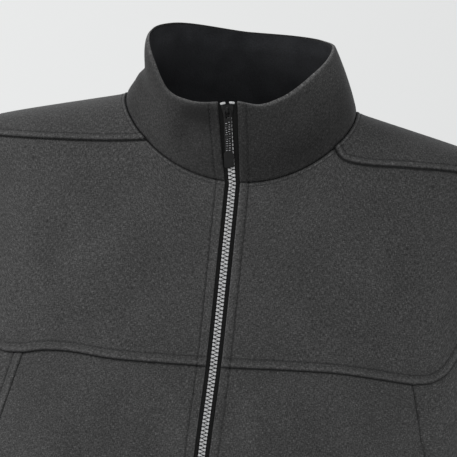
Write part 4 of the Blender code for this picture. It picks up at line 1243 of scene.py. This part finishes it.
def collar_piece(node, places, finishes, material, pitch, wall, lift=0.0):
    """A cloth piece on the collar's form, with a finish for each edge."""
    trims = trimmed(collar, places, finishes)
    # The sheet carries the collar's patches of painted light and shade
    sheet = set_out(Sheet(collar, places, trims, by_grid, collar_painted_light_and_shade), pitch)
    return cloth_piece(node, [sheet], material, wall=wall, lift=lift)


# The collar is the same cloth as the body, and its darker charcoal is painted shade
COLLAR_SHADED_CHARCOAL = softshell("charcoal_softshell_collar_painted_shade", (0.0222, 0.0220, 0.0220), COLLAR_CONTRAST)
COLLAR_FINISHES = {"left": BESIDE_ZIP, "right": BESIDE_ZIP, "bottom": INTO_COLLAR, "top": COLLAR_FOLD}
collar_made = collar_piece(
    "collar", collar_places(ZIP_TURN, 0.0, 1.0), COLLAR_FINISHES, COLLAR_SHADED_CHARCOAL, COLLAR_PITCH, WALL
)

# Collar facing: the black brushed inside of the collar, a second layer sewn along the neck seam and just
# below the fold. It shows inside the back of the neck.

FACING_WALL = 0.0015
SEAM_GAP = 0.0003  # between two layers
FACING_SETBACK = 0.0165  # from the middle of the zip to the facing's front edge
FACING_LOW_SHARE = -0.05  # it is tucked behind the neck seam
FACING_TOP_SHARE = 0.985
FACING_EDGE = Finish(0.0007, 0, 0, 0, False, 0)
FACING_PITCH = 0.0045
FACING_BAND = (0.0495, 0.0595)  # how far up the flat facing its paler, rubbed top starts and is whole
FACING_BAND_TONE = 1.7
PILE_SCALE = 900.0  # hairs and hollows a metre
NAP_SCALE = 60.0


def object_place(tree):
    return add_node(tree, "ShaderNodeTexCoord").outputs["Object"]


def colour_between(tree, shader, value, dark, pale, ends=(0.0, 1.0)):
    """Colours a shader from dark to pale as a value runs between two ends."""
    ramp = add_node(tree, "ShaderNodeValToRGB", {"Fac": value})
    for element, end, colour in zip(ramp.color_ramp.elements, ends, (dark, pale)):
        element.position = end
        element.color = (*colour, 1)
    tree.links.new(ramp.outputs["Color"], shader.inputs["Base Color"])


def brushed_black():
    """Short brushed pile, black, with a slight bloom."""
    constants = {"Roughness": 0.95, "Specular IOR Level": 0.2}
    material, tree, shader = new_material("black_brushed_facing", constants)
    pile = noise(tree, object_place(tree), PILE_SCALE, 3.0)
    nap = noise(tree, object_place(tree), NAP_SCALE, 3.0)
    mixed = number(tree, "MULTIPLY", pile, nap)
    up = add_node(tree, "ShaderNodeSeparateXYZ", {0: flat_place(tree)}).outputs["Y"]
    mixed = number(tree, "MULTIPLY", mixed, eased(tree, up, FACING_BAND, (1.0, FACING_BAND_TONE)))
    dark, pale = (0.008, 0.0084, 0.0095), (0.026, 0.027, 0.030)
    colour_between(tree, shader, mixed, dark, pale, ends=(0.0, 0.6))
    emboss(tree, shader, pile, distance=0.0004, strength=0.6)
    return material


BRUSHED_BLACK = brushed_black()
FACING_FINISHES = dict.fromkeys(EDGES, FACING_EDGE)
facing_made = collar_piece(
    "collar_facing",
    collar_places(math.asin(FACING_SETBACK / NECK_HALF_WIDTH), FACING_LOW_SHARE, FACING_TOP_SHARE),
    FACING_FINISHES,
    BRUSHED_BLACK,
    FACING_PITCH,
    FACING_WALL,
    WALL + SEAM_GAP,
)

# Topstitching: charcoal thread in even lockstitches along every turned edge and lap. Each stitch is one short
# float of thread that dips into the cloth at both ends.

STITCH_PITCH = 0.0034
STITCH_LENGTH = 0.0029
THREAD_WIDTH = 0.00055
THREAD_TWIST_SCALE = 2500.0


def row_tree(name, inputs):
    """An empty Geometry Nodes tree for a row of pieces along lines: a pitch, a finish and its own inputs."""
    tree = bpy.data.node_groups.new(name, "GeometryNodeTree")
    socket = tree.interface.new_socket
    kinds = {"Geometry": "Geometry", "Pitch": "Float", **inputs, "Finish": "Material"}
    for label, kind in kinds.items():
        socket(label, in_out="INPUT", socket_type=f"NodeSocket{kind}")
    socket("Geometry", in_out="OUTPUT", socket_type="NodeSocketGeometry")
    return tree, add_node(tree, "NodeGroupInput").outputs


def finish_row(tree, given, piece, rotation, scale=(1, 1, 1)):
    """Ends a tree with its piece at an even pitch along its lines, as real, smooth, painted meshes."""
    lines = add_node(tree, "GeometryNodeMeshToCurve", {"Mesh": given["Geometry"]}).outputs[0]
    even = {"Curve": lines, "Length": given["Pitch"]}
    points = add_node(tree, "GeometryNodeResampleCurve", even, mode="LENGTH").outputs[0]
    placing = {"Points": points, "Instance": piece, "Rotation": rotation, "Scale": scale}
    placed = add_node(tree, "GeometryNodeInstanceOnPoints", placing).outputs[0]
    real = add_node(tree, "GeometryNodeRealizeInstances", {"Geometry": placed}).outputs[0]
    smooth = add_node(tree, "GeometryNodeSetShadeSmooth", {"Geometry": real}).outputs[0]
    painting = {"Geometry": smooth, "Material": given["Finish"]}
    painted = add_node(tree, "GeometryNodeSetMaterial", painting).outputs[0]
    add_node(tree, "NodeGroupOutput", {"Geometry": painted})


def grown(name, mesh, tree, values):
    """What a tree makes on a mesh, as a plain object."""
    base = linked(name, mesh)
    change = base.modifiers.new(tree.name, "NODES")
    change.node_group = tree
    for item in tree.interface.items_tree:
        if item.in_out == "INPUT" and item.name in values:
            change[item.identifier] = values[item.name]
    evaluated = base.evaluated_get(bpy.context.evaluated_depsgraph_get())
    made = bpy.data.meshes.new_from_object(evaluated)
    made.name = name
    base.modifiers.remove(change)
    base.data = made
    return base


def stitch_tree():
    tree, given = row_tree("stitches_along_lines", {"Length": "Float", "Width": "Float"})
    bead = add_node(tree, "GeometryNodeMeshUVSphere", {"Segments": 6, "Rings": 4, "Radius": 0.5})
    sizes = {"X": given["Length"], "Y": given["Width"], "Z": given["Width"]}
    size = add_node(tree, "ShaderNodeCombineXYZ", sizes).outputs[0]
    tangent = add_node(tree, "GeometryNodeInputTangent").outputs[0]
    turn = add_node(tree, "FunctionNodeAlignRotationToVector", {"Vector": tangent}, axis="X").outputs[0]
    finish_row(tree, given, bead.outputs["Mesh"], turn, size)
    return tree


def polylines(name, lines):
    """A mesh of edges only, one chain of them for each line."""
    points, edges = [], []
    for line in lines:
        edges += [(len(points) + i, len(points) + i + 1) for i in range(len(line) - 1)]
        points += line.tolist()
    mesh = bpy.data.meshes.new(name)
    mesh.from_pydata(points, edges, [])
    return mesh


def thread_material():
    material, tree, shader = new_material("charcoal_thread", {"Roughness": 0.6})
    twist = noise(tree, object_place(tree), THREAD_TWIST_SCALE, 1.0)
    colour_between(tree, shader, twist, dark=(0.007, 0.007, 0.0075), pale=(0.018, 0.018, 0.019))
    return material


THREAD = thread_material()
stitches_made = grown(
    "topstitching",
    polylines("topstitching", STITCH_LINES),
    stitch_tree(),
    {"Pitch": STITCH_PITCH, "Length": STITCH_LENGTH, "Width": THREAD_WIDTH, "Finish": THREAD},
)
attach(stitches_made, "vest")

# Zip tapes: two strips of black woven tape behind the folded front edges, sewn in by the stitch lines beside
# the zip. They run from the hem to the top of the collar and carry the teeth on their inner edges.

TAPE_WALL = 0.0010
TAPE_INNER = 0.0002  # from the zip's middle, where the tapes meet under the locked teeth
TAPE_PARTED = 0.0015  # and where the slider's post holds them apart, and above it
TAPE_PARTING = 0.0030  # the run over which they part, from the slider's foot up
TAPE_OUTER = 0.0150
TAPE_TOP_SETBACK = 0.0006
TAPE_FACE = WALL + SEAM_GAP
TAPE_PITCH = 0.0030
TAPE_COLUMNS = 7
TAPE_STEPS = 4 * FINE
TAPE_EDGE = Finish(0.0004, 0, 0, 0, False, 0)
COLLAR_FRONT_HEIGHT = 0.0690  # along the zip
NECK_HEIGHT = float(neckline(ZIP_TURN)[1])
TOP_RUN = NECK_HEIGHT + COLLAR_FRONT_HEIGHT
NECK_EASE = 0.004  # either side of the neck seam, over which the zip turns from the body to the collar
SLIDER_SETBACK = 0.0086  # from the collar's top edge down to the slider's middle
SLIDER_LENGTH = 0.0110
SLIDER_RUN = TOP_RUN - SLIDER_SETBACK
TWILL_SIZE = 0.0028


def zip_face(across, run, inward=0.0):
    """Points of the vest's face beside the middle front, at a place along the zip."""
    across, run = np.broadcast_arrays(np.asarray(across, float), np.asarray(run, float))
    inward = np.broadcast_to(inward, run.shape)
    height = np.minimum(run, NECK_HEIGHT + NECK_EASE)
    on_body = torso(angle_at(across + zip_middle(height), height), height, inward)
    lowest = -NECK_EASE / COLLAR_FRONT_HEIGHT
    share = np.clip((run - NECK_HEIGHT) / COLLAR_FRONT_HEIGHT, lowest, 1)
    on_collar = collar(np.arcsin(across / NECK_HALF_WIDTH), share, inward)
    part = np.clip((run - NECK_HEIGHT) / (2 * NECK_EASE) + 0.5, 0, 1)[..., None]
    part = part * part * (3 - 2 * part)
    return on_body * (1 - part) + on_collar * part


def tape_face(across, run, inward=0.0):
    return zip_face(across, run, np.asarray(inward) + TAPE_FACE)


def woven_tape():
    """Black polyester tape with a fine herringbone weave."""
    constants = {"Roughness": 0.8, "Specular IOR Level": 0.25}
    material, tree, shader = new_material("black_woven_tape", constants)
    place = measured_in(tree, flat_place(tree), (TWILL_SIZE, TWILL_SIZE, 1))
    weave = {"Vector": place, "Scale": 1.0, "Distortion": 0.4, "Detail": 1.0}
    twill = add_node(tree, "ShaderNodeTexWave", weave, bands_direction="DIAGONAL").outputs["Fac"]
    colour_between(tree, shader, twill, dark=(0.003, 0.003, 0.003), pale=(0.008, 0.008, 0.008))
    emboss(tree, shader, twill, distance=0.0002, strength=0.6)
    return material


WOVEN_TAPE = woven_tape()


def make_tape(side):
    runs = np.linspace(HEM_HEIGHT, TOP_RUN - TAPE_TOP_SETBACK, TAPE_STEPS)
    parted = np.clip((runs - SLIDER_RUN + SLIDER_LENGTH / 2) / TAPE_PARTING, 0, 1)
    inner = SIDES[side] * (TAPE_INNER + (TAPE_PARTED - TAPE_INNER) * parted)
    across = np.linspace(inner, SIDES[side] * TAPE_OUTER, TAPE_COLUMNS)
    places = np.stack([across, np.broadcast_to(runs, across.shape)], axis=-1)
    trims = trimmed(tape_face, places, dict.fromkeys(EDGES, TAPE_EDGE))
    sheet = set_out(Sheet(tape_face, places, trims, by_grid), TAPE_PITCH)
    made = cloth_piece(f"zip_tape_{side}", [sheet], WOVEN_TAPE, wall=TAPE_WALL)


for wearer_side in SIDES:
    make_tape(wearer_side)

# Zip teeth: moulded silver plastic, one wedge after another on each tape. The two rows point at each other
# and are locked half a pitch apart, from the box at the hem up to the slider.

TOOTH_PITCH = 0.00325
TOOTH_HALF_BASE = 0.00122
TOOTH_HALF_TIP = 0.00030
TOOTH_BACK = -0.0029  # distance from the zip's middle to the tooth's root
TOOTH_SHOULDER = -0.0019
TOOTH_TIP = 0.0007
TOOTH_HEIGHT = 0.0020
TOOTH_BEVEL = 0.00025
STEPS_A_TOOTH = 3
SILVER_WEAR_SCALE = 700.0  # dull patches a metre
BOX_RISE = 0.0010  # above the hem
BOX_LOW = HEM_HEIGHT + BOX_RISE
BOX_LENGTH = 0.0120


def dull_between(tree, shader, value, least, most):
    """Makes a shader rougher as a value rises."""
    rough = add_node(tree, "ShaderNodeMapRange", {"Value": value, "To Min": least, "To Max": most})
    tree.links.new(rough.outputs[0], shader.inputs["Roughness"])


def silver_plastic():
    """Moulded plastic with a silver coat: light grey, half gloss, a little worn and dull in the hollows."""
    material, tree, shader = new_material("silver_moulded_plastic", {"Metallic": 0.35})
    wear = noise(tree, object_place(tree), SILVER_WEAR_SCALE, 3.0)
    dark, pale = (0.34, 0.34, 0.345), (0.55, 0.55, 0.555)
    colour_between(tree, shader, wear, dark, pale, ends=(0.3, 0.65))
    dull_between(tree, shader, wear, least=0.30, most=0.48)
    return material


SILVER = silver_plastic()


def tooth_mesh():
    """One wedge, its root at minus x, rounded along all its edges but those at the bottom."""
    outline = [
        (TOOTH_BACK, -TOOTH_HALF_BASE),
        (TOOTH_SHOULDER, -TOOTH_HALF_BASE),
        (TOOTH_TIP, -TOOTH_HALF_TIP),
        (TOOTH_TIP, TOOTH_HALF_TIP),
        (TOOTH_SHOULDER, TOOTH_HALF_BASE),
        (TOOTH_BACK, TOOTH_HALF_BASE),
    ]
    bm = bmesh.new()
    face = bm.faces.new([bm.verts.new((x, y, -TOOTH_HEIGHT)) for x, y in outline])
    raised = bmesh.ops.extrude_face_region(bm, geom=[face], use_keep_orig=True)["geom"]
    top = [element for element in raised if isinstance(element, bmesh.types.BMVert)]
    bmesh.ops.translate(bm, verts=top, vec=(0, 0, TOOTH_HEIGHT))
    bmesh.ops.recalc_face_normals(bm, faces=bm.faces[:])
    upper = [edge for edge in bm.edges if any(vert.co.z > -TOOTH_HEIGHT / 2 for vert in edge.verts)]
    bmesh.ops.bevel(bm, geom=upper, offset=TOOTH_BEVEL, segments=1, profile=0.5, affect="EDGES")
    return mesh_of(bm, "tooth")


def upright_tree(name):
    """Puts one piece after another along lines, its y along the line and its z along the attribute "out"."""
    tree, given = row_tree(name, {"Piece": "Object"})
    piece = add_node(tree, "GeometryNodeObjectInfo", {"Object": given["Piece"]}).outputs["Geometry"]
    out = add_node(tree, "GeometryNodeInputNamedAttribute", {"Name": "out"}, data_type="FLOAT_VECTOR")
    tangent = add_node(tree, "GeometryNodeInputTangent")
    axes = {0: out.outputs["Attribute"], 1: tangent.outputs[0]}
    turn = add_node(tree, "FunctionNodeAxesToRotation", axes, primary_axis="Z", secondary_axis="Y")
    finish_row(tree, given, piece, turn.outputs[0])
    return tree


def set_in_rows(name, lines, outs, piece_mesh, pitch, material):
    """A piece repeated along lines, as one object. Every point of a line has a direction out of the face."""
    mesh = polylines(name, lines)
    out = mesh.attributes.new("out", "FLOAT_VECTOR", "POINT")
    out.data.foreach_set("vector", np.concatenate(outs).ravel())
    piece = linked(f"{name}_one", piece_mesh)
    made = grown(name, mesh, upright_tree(name), {"Pitch": pitch, "Piece": piece, "Finish": material})
    bpy.data.objects.remove(piece)
    return made


def make_teeth():
    low = BOX_LOW + BOX_LENGTH + TOOTH_PITCH / 2
    high = SLIDER_RUN - SLIDER_LENGTH / 2 - TOOTH_PITCH / 2
    runs = np.arange(low, high, TOOTH_PITCH / STEPS_A_TOOTH)
    rows = [runs, runs[::-1] + TOOTH_PITCH / 2]
    lines = [zip_face(0.0, row) for row in rows]
    outs = [zip_face(0.0, row, -SEAM_GAP) - line for row, line in zip(rows, lines)]
    outs = [out / np.linalg.norm(out, axis=-1, keepdims=True) for out in outs]
    made = set_in_rows("zip_teeth_moulded", lines, outs, tooth_mesh(), TOOTH_PITCH, SILVER)
    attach(made, "vest")
    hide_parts("zip_teeth")


make_teeth()

# Slider: a die-cast body in satin black paint, two plates on one post with the tapes between them. It stands
# at the top of the zip, and the crown on its front holds the pull tab.

SLIDER_TOP_WIDTH = 0.0105
SLIDER_FOOT_WIDTH = 0.0078
SLIDER_SHOULDER = 0.0022  # the plate narrows between this far above and below its middle
SLIDER_PLATE = 0.0030
SLIDER_EDGE = 0.0008
SLIDER_FOOT_CORNER = 0.0012
SLIDER_WAIST_CORNER = 0.0030
SLIDER_TOP_CORNER = 0.0018
SLIDER_BACK_PLATE = 0.0010
SLIDER_BACK_EDGE = 0.0003
SLIDER_BACK_CLEARANCE = 0.0006
SLIDER_POST_WIDTH = 0.0020
SLIDER_POST_LENGTH = 0.0040
SLIDER_POST_CORNER = 0.0006
CROWN_WIDTH = 0.0020
CROWN_RADIUS = 0.0031
CROWN_EYE_RADIUS = 0.0017
CROWN_EDGE = 0.0005
CROWN_STEPS = 32
PIVOT_HEIGHT = 0.0024  # above the slider's front face
PAINT_GRAIN_SCALE = 2600.0  # bumps a metre
PAINT_RUB_SCALE = 240.0  # rubbed patches a metre
SMALL_RUN = 0.002
SMALLEST_EDGE = 1e-6
ARC_STEPS = 5
PLATE_LOW = -TAPE_FACE + SEAM_GAP  # where what stands on the tapes starts, from the cloth's face


def zip_frame(run):
    """Axes on the zip: x across it, y up along it and z out of the face."""
    at, above, below = (Vector(zip_face(0.0, place)) for place in (run, run + SMALL_RUN, run - SMALL_RUN))
    left, right = (Vector(zip_face(across, run)) for across in (SMALL_RUN, -SMALL_RUN))
    up = (above - below).normalized()
    out = (left - right).cross(up).normalized()
    return Matrix.Translation(at) @ Matrix((up.cross(out), up, out)).transposed().to_4x4()


def rounded(corners):
    """A flat outline through corners, each (x, y, radius of its rounding)."""
    outline = []
    for i, (x, y, radius) in enumerate(corners):
        corner = Vector((x, y))
        before = (Vector(corners[i - 1][:2]) - corner).normalized()
        after = (Vector(corners[(i + 1) % len(corners)][:2]) - corner).normalized()
        half = before.angle(after) / 2
        middle = corner + (before + after).normalized() * radius / math.sin(half)
        first = corner + before * radius / math.tan(half) - middle
        last = corner + after * radius / math.tan(half) - middle
        for step in range(ARC_STEPS + 1):
            share = step / ARC_STEPS
            spoke = first * (1 - share) + last * share
            outline.append(middle + spoke.normalized() * radius)
    return outline


def mirrored_corners(half):
    """A whole outline from the corners of its right half, which run upwards."""
    return [*half, *((-x, y, radius) for x, y, radius in reversed(half))]


def oblong(half_width, low, high, low_corner, high_corner):
    """A straight-sided outline between two places along it, with the radii of its corners there."""
    return rounded(mirrored_corners(((half_width, low, low_corner), (half_width, high, high_corner))))


def add_plate(bm, outlines, low, high, edge, place=Matrix()):
    """Adds a flat plate with rounded edges: its outline, and then those of its holes, run the other way."""
    curve = bpy.data.curves.new("plate", "CURVE")
    curve.dimensions = "2D"
    curve.fill_mode = "BOTH"
    curve.extrude = (high - low) / 2 - edge
    curve.bevel_depth = edge
    curve.bevel_resolution = 2
    curve.offset = -edge
    for outline in outlines:
        spline = curve.splines.new("POLY")
        spline.points.add(len(outline) - 1)
        spline.points.foreach_set("co", [value for x, y in outline for value in (x, y, 0, 1)])
        spline.use_cyclic_u = True
    drawn = linked("plate", curve)
    mesh = bpy.data.meshes.new_from_object(drawn.evaluated_get(bpy.context.evaluated_depsgraph_get()))
    bpy.data.objects.remove(drawn)
    mesh.transform(place @ Matrix.Translation((0, 0, (low + high) / 2)))
    bm.from_mesh(mesh)
    bpy.data.meshes.remove(mesh)


def add_ring(bm, inner, outer, width, edge, middle):
    """Adds a ring about an axis along x, with rounded edges."""
    half = width / 2
    corners = ((-half, inner, edge), (half, inner, edge), (half, outer, edge), (-half, outer, edge))
    section = [bm.verts.new(middle + Vector((x, 0, radius))) for x, radius in rounded(corners)]
    loop = [bm.edges.new(pair) for pair in zip(section, section[1:] + section[:1])]
    round_x = {"cent": middle, "axis": (1, 0, 0), "angle": 2 * math.pi}
    bmesh.ops.spin(bm, geom=section + loop, steps=CROWN_STEPS, use_merge=True, **round_x)


def hard_mesh(name, bm, place):
    """The mesh of a hard piece: welded, faces out, smooth but for its sharp edges."""
    bmesh.ops.remove_doubles(bm, verts=bm.verts[:], dist=SMALLEST_EDGE)
    bmesh.ops.recalc_face_normals(bm, faces=bm.faces[:])
    mesh = mesh_of(bm, name)
    mesh.transform(place)
    mesh.shade_smooth()
    mesh.set_sharp_from_angle(angle=SHARP_ANGLE)
    return mesh


def hard_piece(node, making, bm, place, material, body):
    """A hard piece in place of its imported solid, named for the solid and the way it is made."""
    name = f"{node}_{making}"
    made = new_object(name, hard_mesh(name, bm, place), material)
    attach(made, body)
    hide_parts(node)


def black_paint():
    """Satin black paint over cast metal: a fine orange-peel grain, dulled in faint patches by handling."""
    material, tree, shader = new_material("satin_black_paint", {"Specular IOR Level": 0.16})
    grain = noise(tree, object_place(tree), PAINT_GRAIN_SCALE, 2.0)
    rubbed = noise(tree, object_place(tree), PAINT_RUB_SCALE, 4.0)
    dark, pale = (0.0045, 0.0045, 0.0047), (0.0090, 0.0090, 0.0092)
    colour_between(tree, shader, rubbed, dark, pale, ends=(0.35, 0.75))
    dull_between(tree, shader, rubbed, least=0.38, most=0.56)
    emboss(tree, shader, grain, distance=0.00005, strength=0.4)
    return material


BLACK_PAINT = black_paint()


def make_slider():
    top, foot, end = SLIDER_TOP_WIDTH / 2, SLIDER_FOOT_WIDTH / 2, SLIDER_LENGTH / 2
    half = (
        (foot, -end, SLIDER_FOOT_CORNER),
        (foot, -SLIDER_SHOULDER, SLIDER_WAIST_CORNER),
        (top, SLIDER_SHOULDER, SLIDER_WAIST_CORNER),
        (top, end, SLIDER_TOP_CORNER),
    )
    outline = rounded(mirrored_corners(half))
    half_post = SLIDER_POST_LENGTH / 2
    post = oblong(SLIDER_POST_WIDTH / 2, -half_post, half_post, SLIDER_POST_CORNER, SLIDER_POST_CORNER)
    plate_high = PLATE_LOW + SLIDER_PLATE
    back_high = -TAPE_FACE - TAPE_WALL - SLIDER_BACK_CLEARANCE
    back_low = back_high - SLIDER_BACK_PLATE
    crown = Vector((0, 0, plate_high + PIVOT_HEIGHT))
    bm = bmesh.new()
    add_plate(bm, [outline], PLATE_LOW, plate_high, SLIDER_EDGE)
    add_plate(bm, [outline], back_low, back_high, SLIDER_BACK_EDGE)
    add_plate(bm, [post], back_low + SLIDER_BACK_EDGE, plate_high - SLIDER_EDGE, SLIDER_BACK_EDGE)
    add_ring(bm, CROWN_EYE_RADIUS, CROWN_RADIUS, CROWN_WIDTH, CROWN_EDGE, crown)
    hard_piece("zip_slider", "cast", bm, zip_frame(SLIDER_RUN), BLACK_PAINT, "vest")


make_slider()

# Pull tab: a cast plate in the same black paint, hung by its bar through the crown's eye. Short raised grip
# ribs fill its narrow body, and its wider foot is smooth and lies on the teeth.

PULL_LENGTH = 0.0485  # below the pivot
PULL_WIDTH = 0.0064
PULL_FOOT_WIDTH = 0.0083
PULL_FOOT_LENGTH = 0.0125
PULL_FOOT_SLOPE = 0.0008
PULL_THICKNESS = 0.0018
PULL_EDGE = 0.0005
PULL_CORNER = 0.0014
PULL_FOOT_CORNER = 0.0010  # where the foot widens
PULL_WINDOW_HALF_WIDTH = 0.0016
PULL_WINDOW_LENGTH = 0.0056
PULL_WINDOW_CORNERS = (0.0008, 0.0006)
PULL_BAR = 0.0016
PULL_REST_TILT = math.radians(2.4)
PULL_REST_LEAN = math.radians(-1.5)
RIB_LENGTH = 0.0017
RIB_WIDTH = 0.0006
RIB_HEIGHT = 0.00035  # above the tab's face
RIB_CORNER = 0.0003
RIB_EDGE = 0.0002
RIB_SPACING = 0.0019
RIB_COLUMN = 0.00125  # from the tab's middle to each column of ribs
RIB_TOP = -0.0100  # from the pivot
RIB_FOOT = -0.0345
RIB_GLINT_SCALE = 1100.0  # pale specks a metre, which are painted glints


def black_paint_with_painted_glints():
    """Black paint with specks of pale, bare metal: painted glints on the grip ribs."""
    material, tree, shader = new_material("black_paint_painted_glints", {"Roughness": 0.40})
    # Painted glints: specks where the black gives way to pale, shiny metal
    glint_specks = eased(tree, noise(tree, object_place(tree), RIB_GLINT_SCALE, 2.0), (0.44, 0.58), (0, 1))
    colour_between(tree, shader, glint_specks, dark=(0.008, 0.008, 0.008), pale=(0.42, 0.42, 0.43))
    tree.links.new(number(tree, "MULTIPLY", glint_specks, 0.8), shader.inputs["Metallic"])
    return material


def make_pull():
    pivot = zip_frame(SLIDER_RUN)
    pivot.translation = Vector(frame["joints"][0]["pos_m"])
    rest = pivot @ Matrix.Rotation(PULL_REST_LEAN, 4, "Z") @ Matrix.Rotation(PULL_REST_TILT, 4, "X")
    half_width, half_foot, half_bar = PULL_WIDTH / 2, PULL_FOOT_WIDTH / 2, PULL_BAR / 2
    half_thickness = PULL_THICKNESS / 2
    foot_top = PULL_FOOT_LENGTH - PULL_LENGTH
    half = (
        (half_foot, -PULL_LENGTH, PULL_CORNER),
        (half_foot, foot_top - PULL_FOOT_SLOPE, PULL_FOOT_CORNER),
        (half_width, foot_top + PULL_FOOT_SLOPE, PULL_FOOT_CORNER),
        (half_width, half_bar, PULL_CORNER),
    )
    window_low = -half_bar - PULL_WINDOW_LENGTH
    window = oblong(PULL_WINDOW_HALF_WIDTH, window_low, -half_bar, *PULL_WINDOW_CORNERS)[::-1]
    bm = bmesh.new()
    add_plate(bm, [rounded(mirrored_corners(half)), window], -half_thickness, half_thickness, PULL_EDGE)
    hard_piece("zip_pull", "cast", bm, rest, BLACK_PAINT, "pull_tab")

    rib_outline = oblong(RIB_LENGTH / 2, -RIB_WIDTH / 2, RIB_WIDTH / 2, RIB_CORNER, RIB_CORNER)
    rib = bmesh.new()
    add_plate(rib, [rib_outline], -RIB_HEIGHT, RIB_HEIGHT, RIB_EDGE)
    columns = []
    for side, shift in ((1, 0.0), (-1, RIB_SPACING / 2)):
        along = np.arange(RIB_TOP - shift, RIB_FOOT, -RIB_SPACING / 2)
        columns.append([rest @ Vector((side * RIB_COLUMN, y, half_thickness)) for y in along])
    out = rest.to_3x3() @ Vector((0, 0, 1))
    ribs = set_in_rows(
        "pull_grip_ribs",
        [np.array(column) for column in columns],
        [np.tile(out, (len(column), 1)) for column in columns],
        hard_mesh("grip_rib", rib, Matrix()),
        RIB_SPACING,
        black_paint_with_painted_glints(),
    )
    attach(ribs, "pull_tab")


make_pull()

# Stops and box: two silver lumps moulded onto the tapes just above the slider, which end its travel, and the
# black moulded box at the hem that holds the foot of the chain.

STOP_INNER = 0.0016
STOP_WIDTH = 0.0046
STOP_LENGTH = 0.0022
STOP_HEIGHT = 0.0024
STOP_GAP = 0.0005
STOP_EDGE = 0.0007
STOP_CORNER = 0.0008
STOP_SLANT = math.radians(9)  # the outer end hangs lower
BOX_WIDTH = 0.0096
BOX_HEIGHT = 0.0032
BOX_EDGE = 0.0008
BOX_FOOT_CORNER = 0.0014
BOX_TOP_CORNER = 0.0008
BOX_LIP = 0.0030
BOX_LIP_HEIGHT = 0.0005


def make_stops():
    middle = Vector((STOP_INNER + STOP_WIDTH / 2, SLIDER_LENGTH / 2 + STOP_GAP + STOP_LENGTH / 2, 0))
    outline = oblong(STOP_WIDTH / 2, -STOP_LENGTH / 2, STOP_LENGTH / 2, STOP_CORNER, STOP_CORNER)
    for side, sign in SIDES.items():
        slant = Matrix.Rotation(-sign * STOP_SLANT, 4, "Z")
        place = Matrix.Translation((sign * middle.x, middle.y, 0)) @ slant
        bm = bmesh.new()
        add_plate(bm, [outline], PLATE_LOW, PLATE_LOW + STOP_HEIGHT, STOP_EDGE, place)
        slider = zip_frame(SLIDER_RUN)
        hard_piece(f"zip_stop_{side}", "moulded", bm, slider, SILVER, "vest")


def make_box():
    half_width, half_length = BOX_WIDTH / 2, BOX_LENGTH / 2
    whole = oblong(half_width, -half_length, half_length, BOX_FOOT_CORNER, BOX_TOP_CORNER)
    lip = oblong(half_width, half_length - BOX_LIP, half_length, BOX_TOP_CORNER, BOX_TOP_CORNER)
    top = PLATE_LOW + BOX_HEIGHT
    bm = bmesh.new()
    add_plate(bm, [whole], PLATE_LOW, top - BOX_LIP_HEIGHT, BOX_EDGE)
    add_plate(bm, [lip], PLATE_LOW, top, BOX_EDGE)
    place = zip_frame(BOX_LOW + half_length)
    hard_piece("zip_box", "moulded", bm, place, BLACK_PAINT, "vest")


make_stops()
make_box()
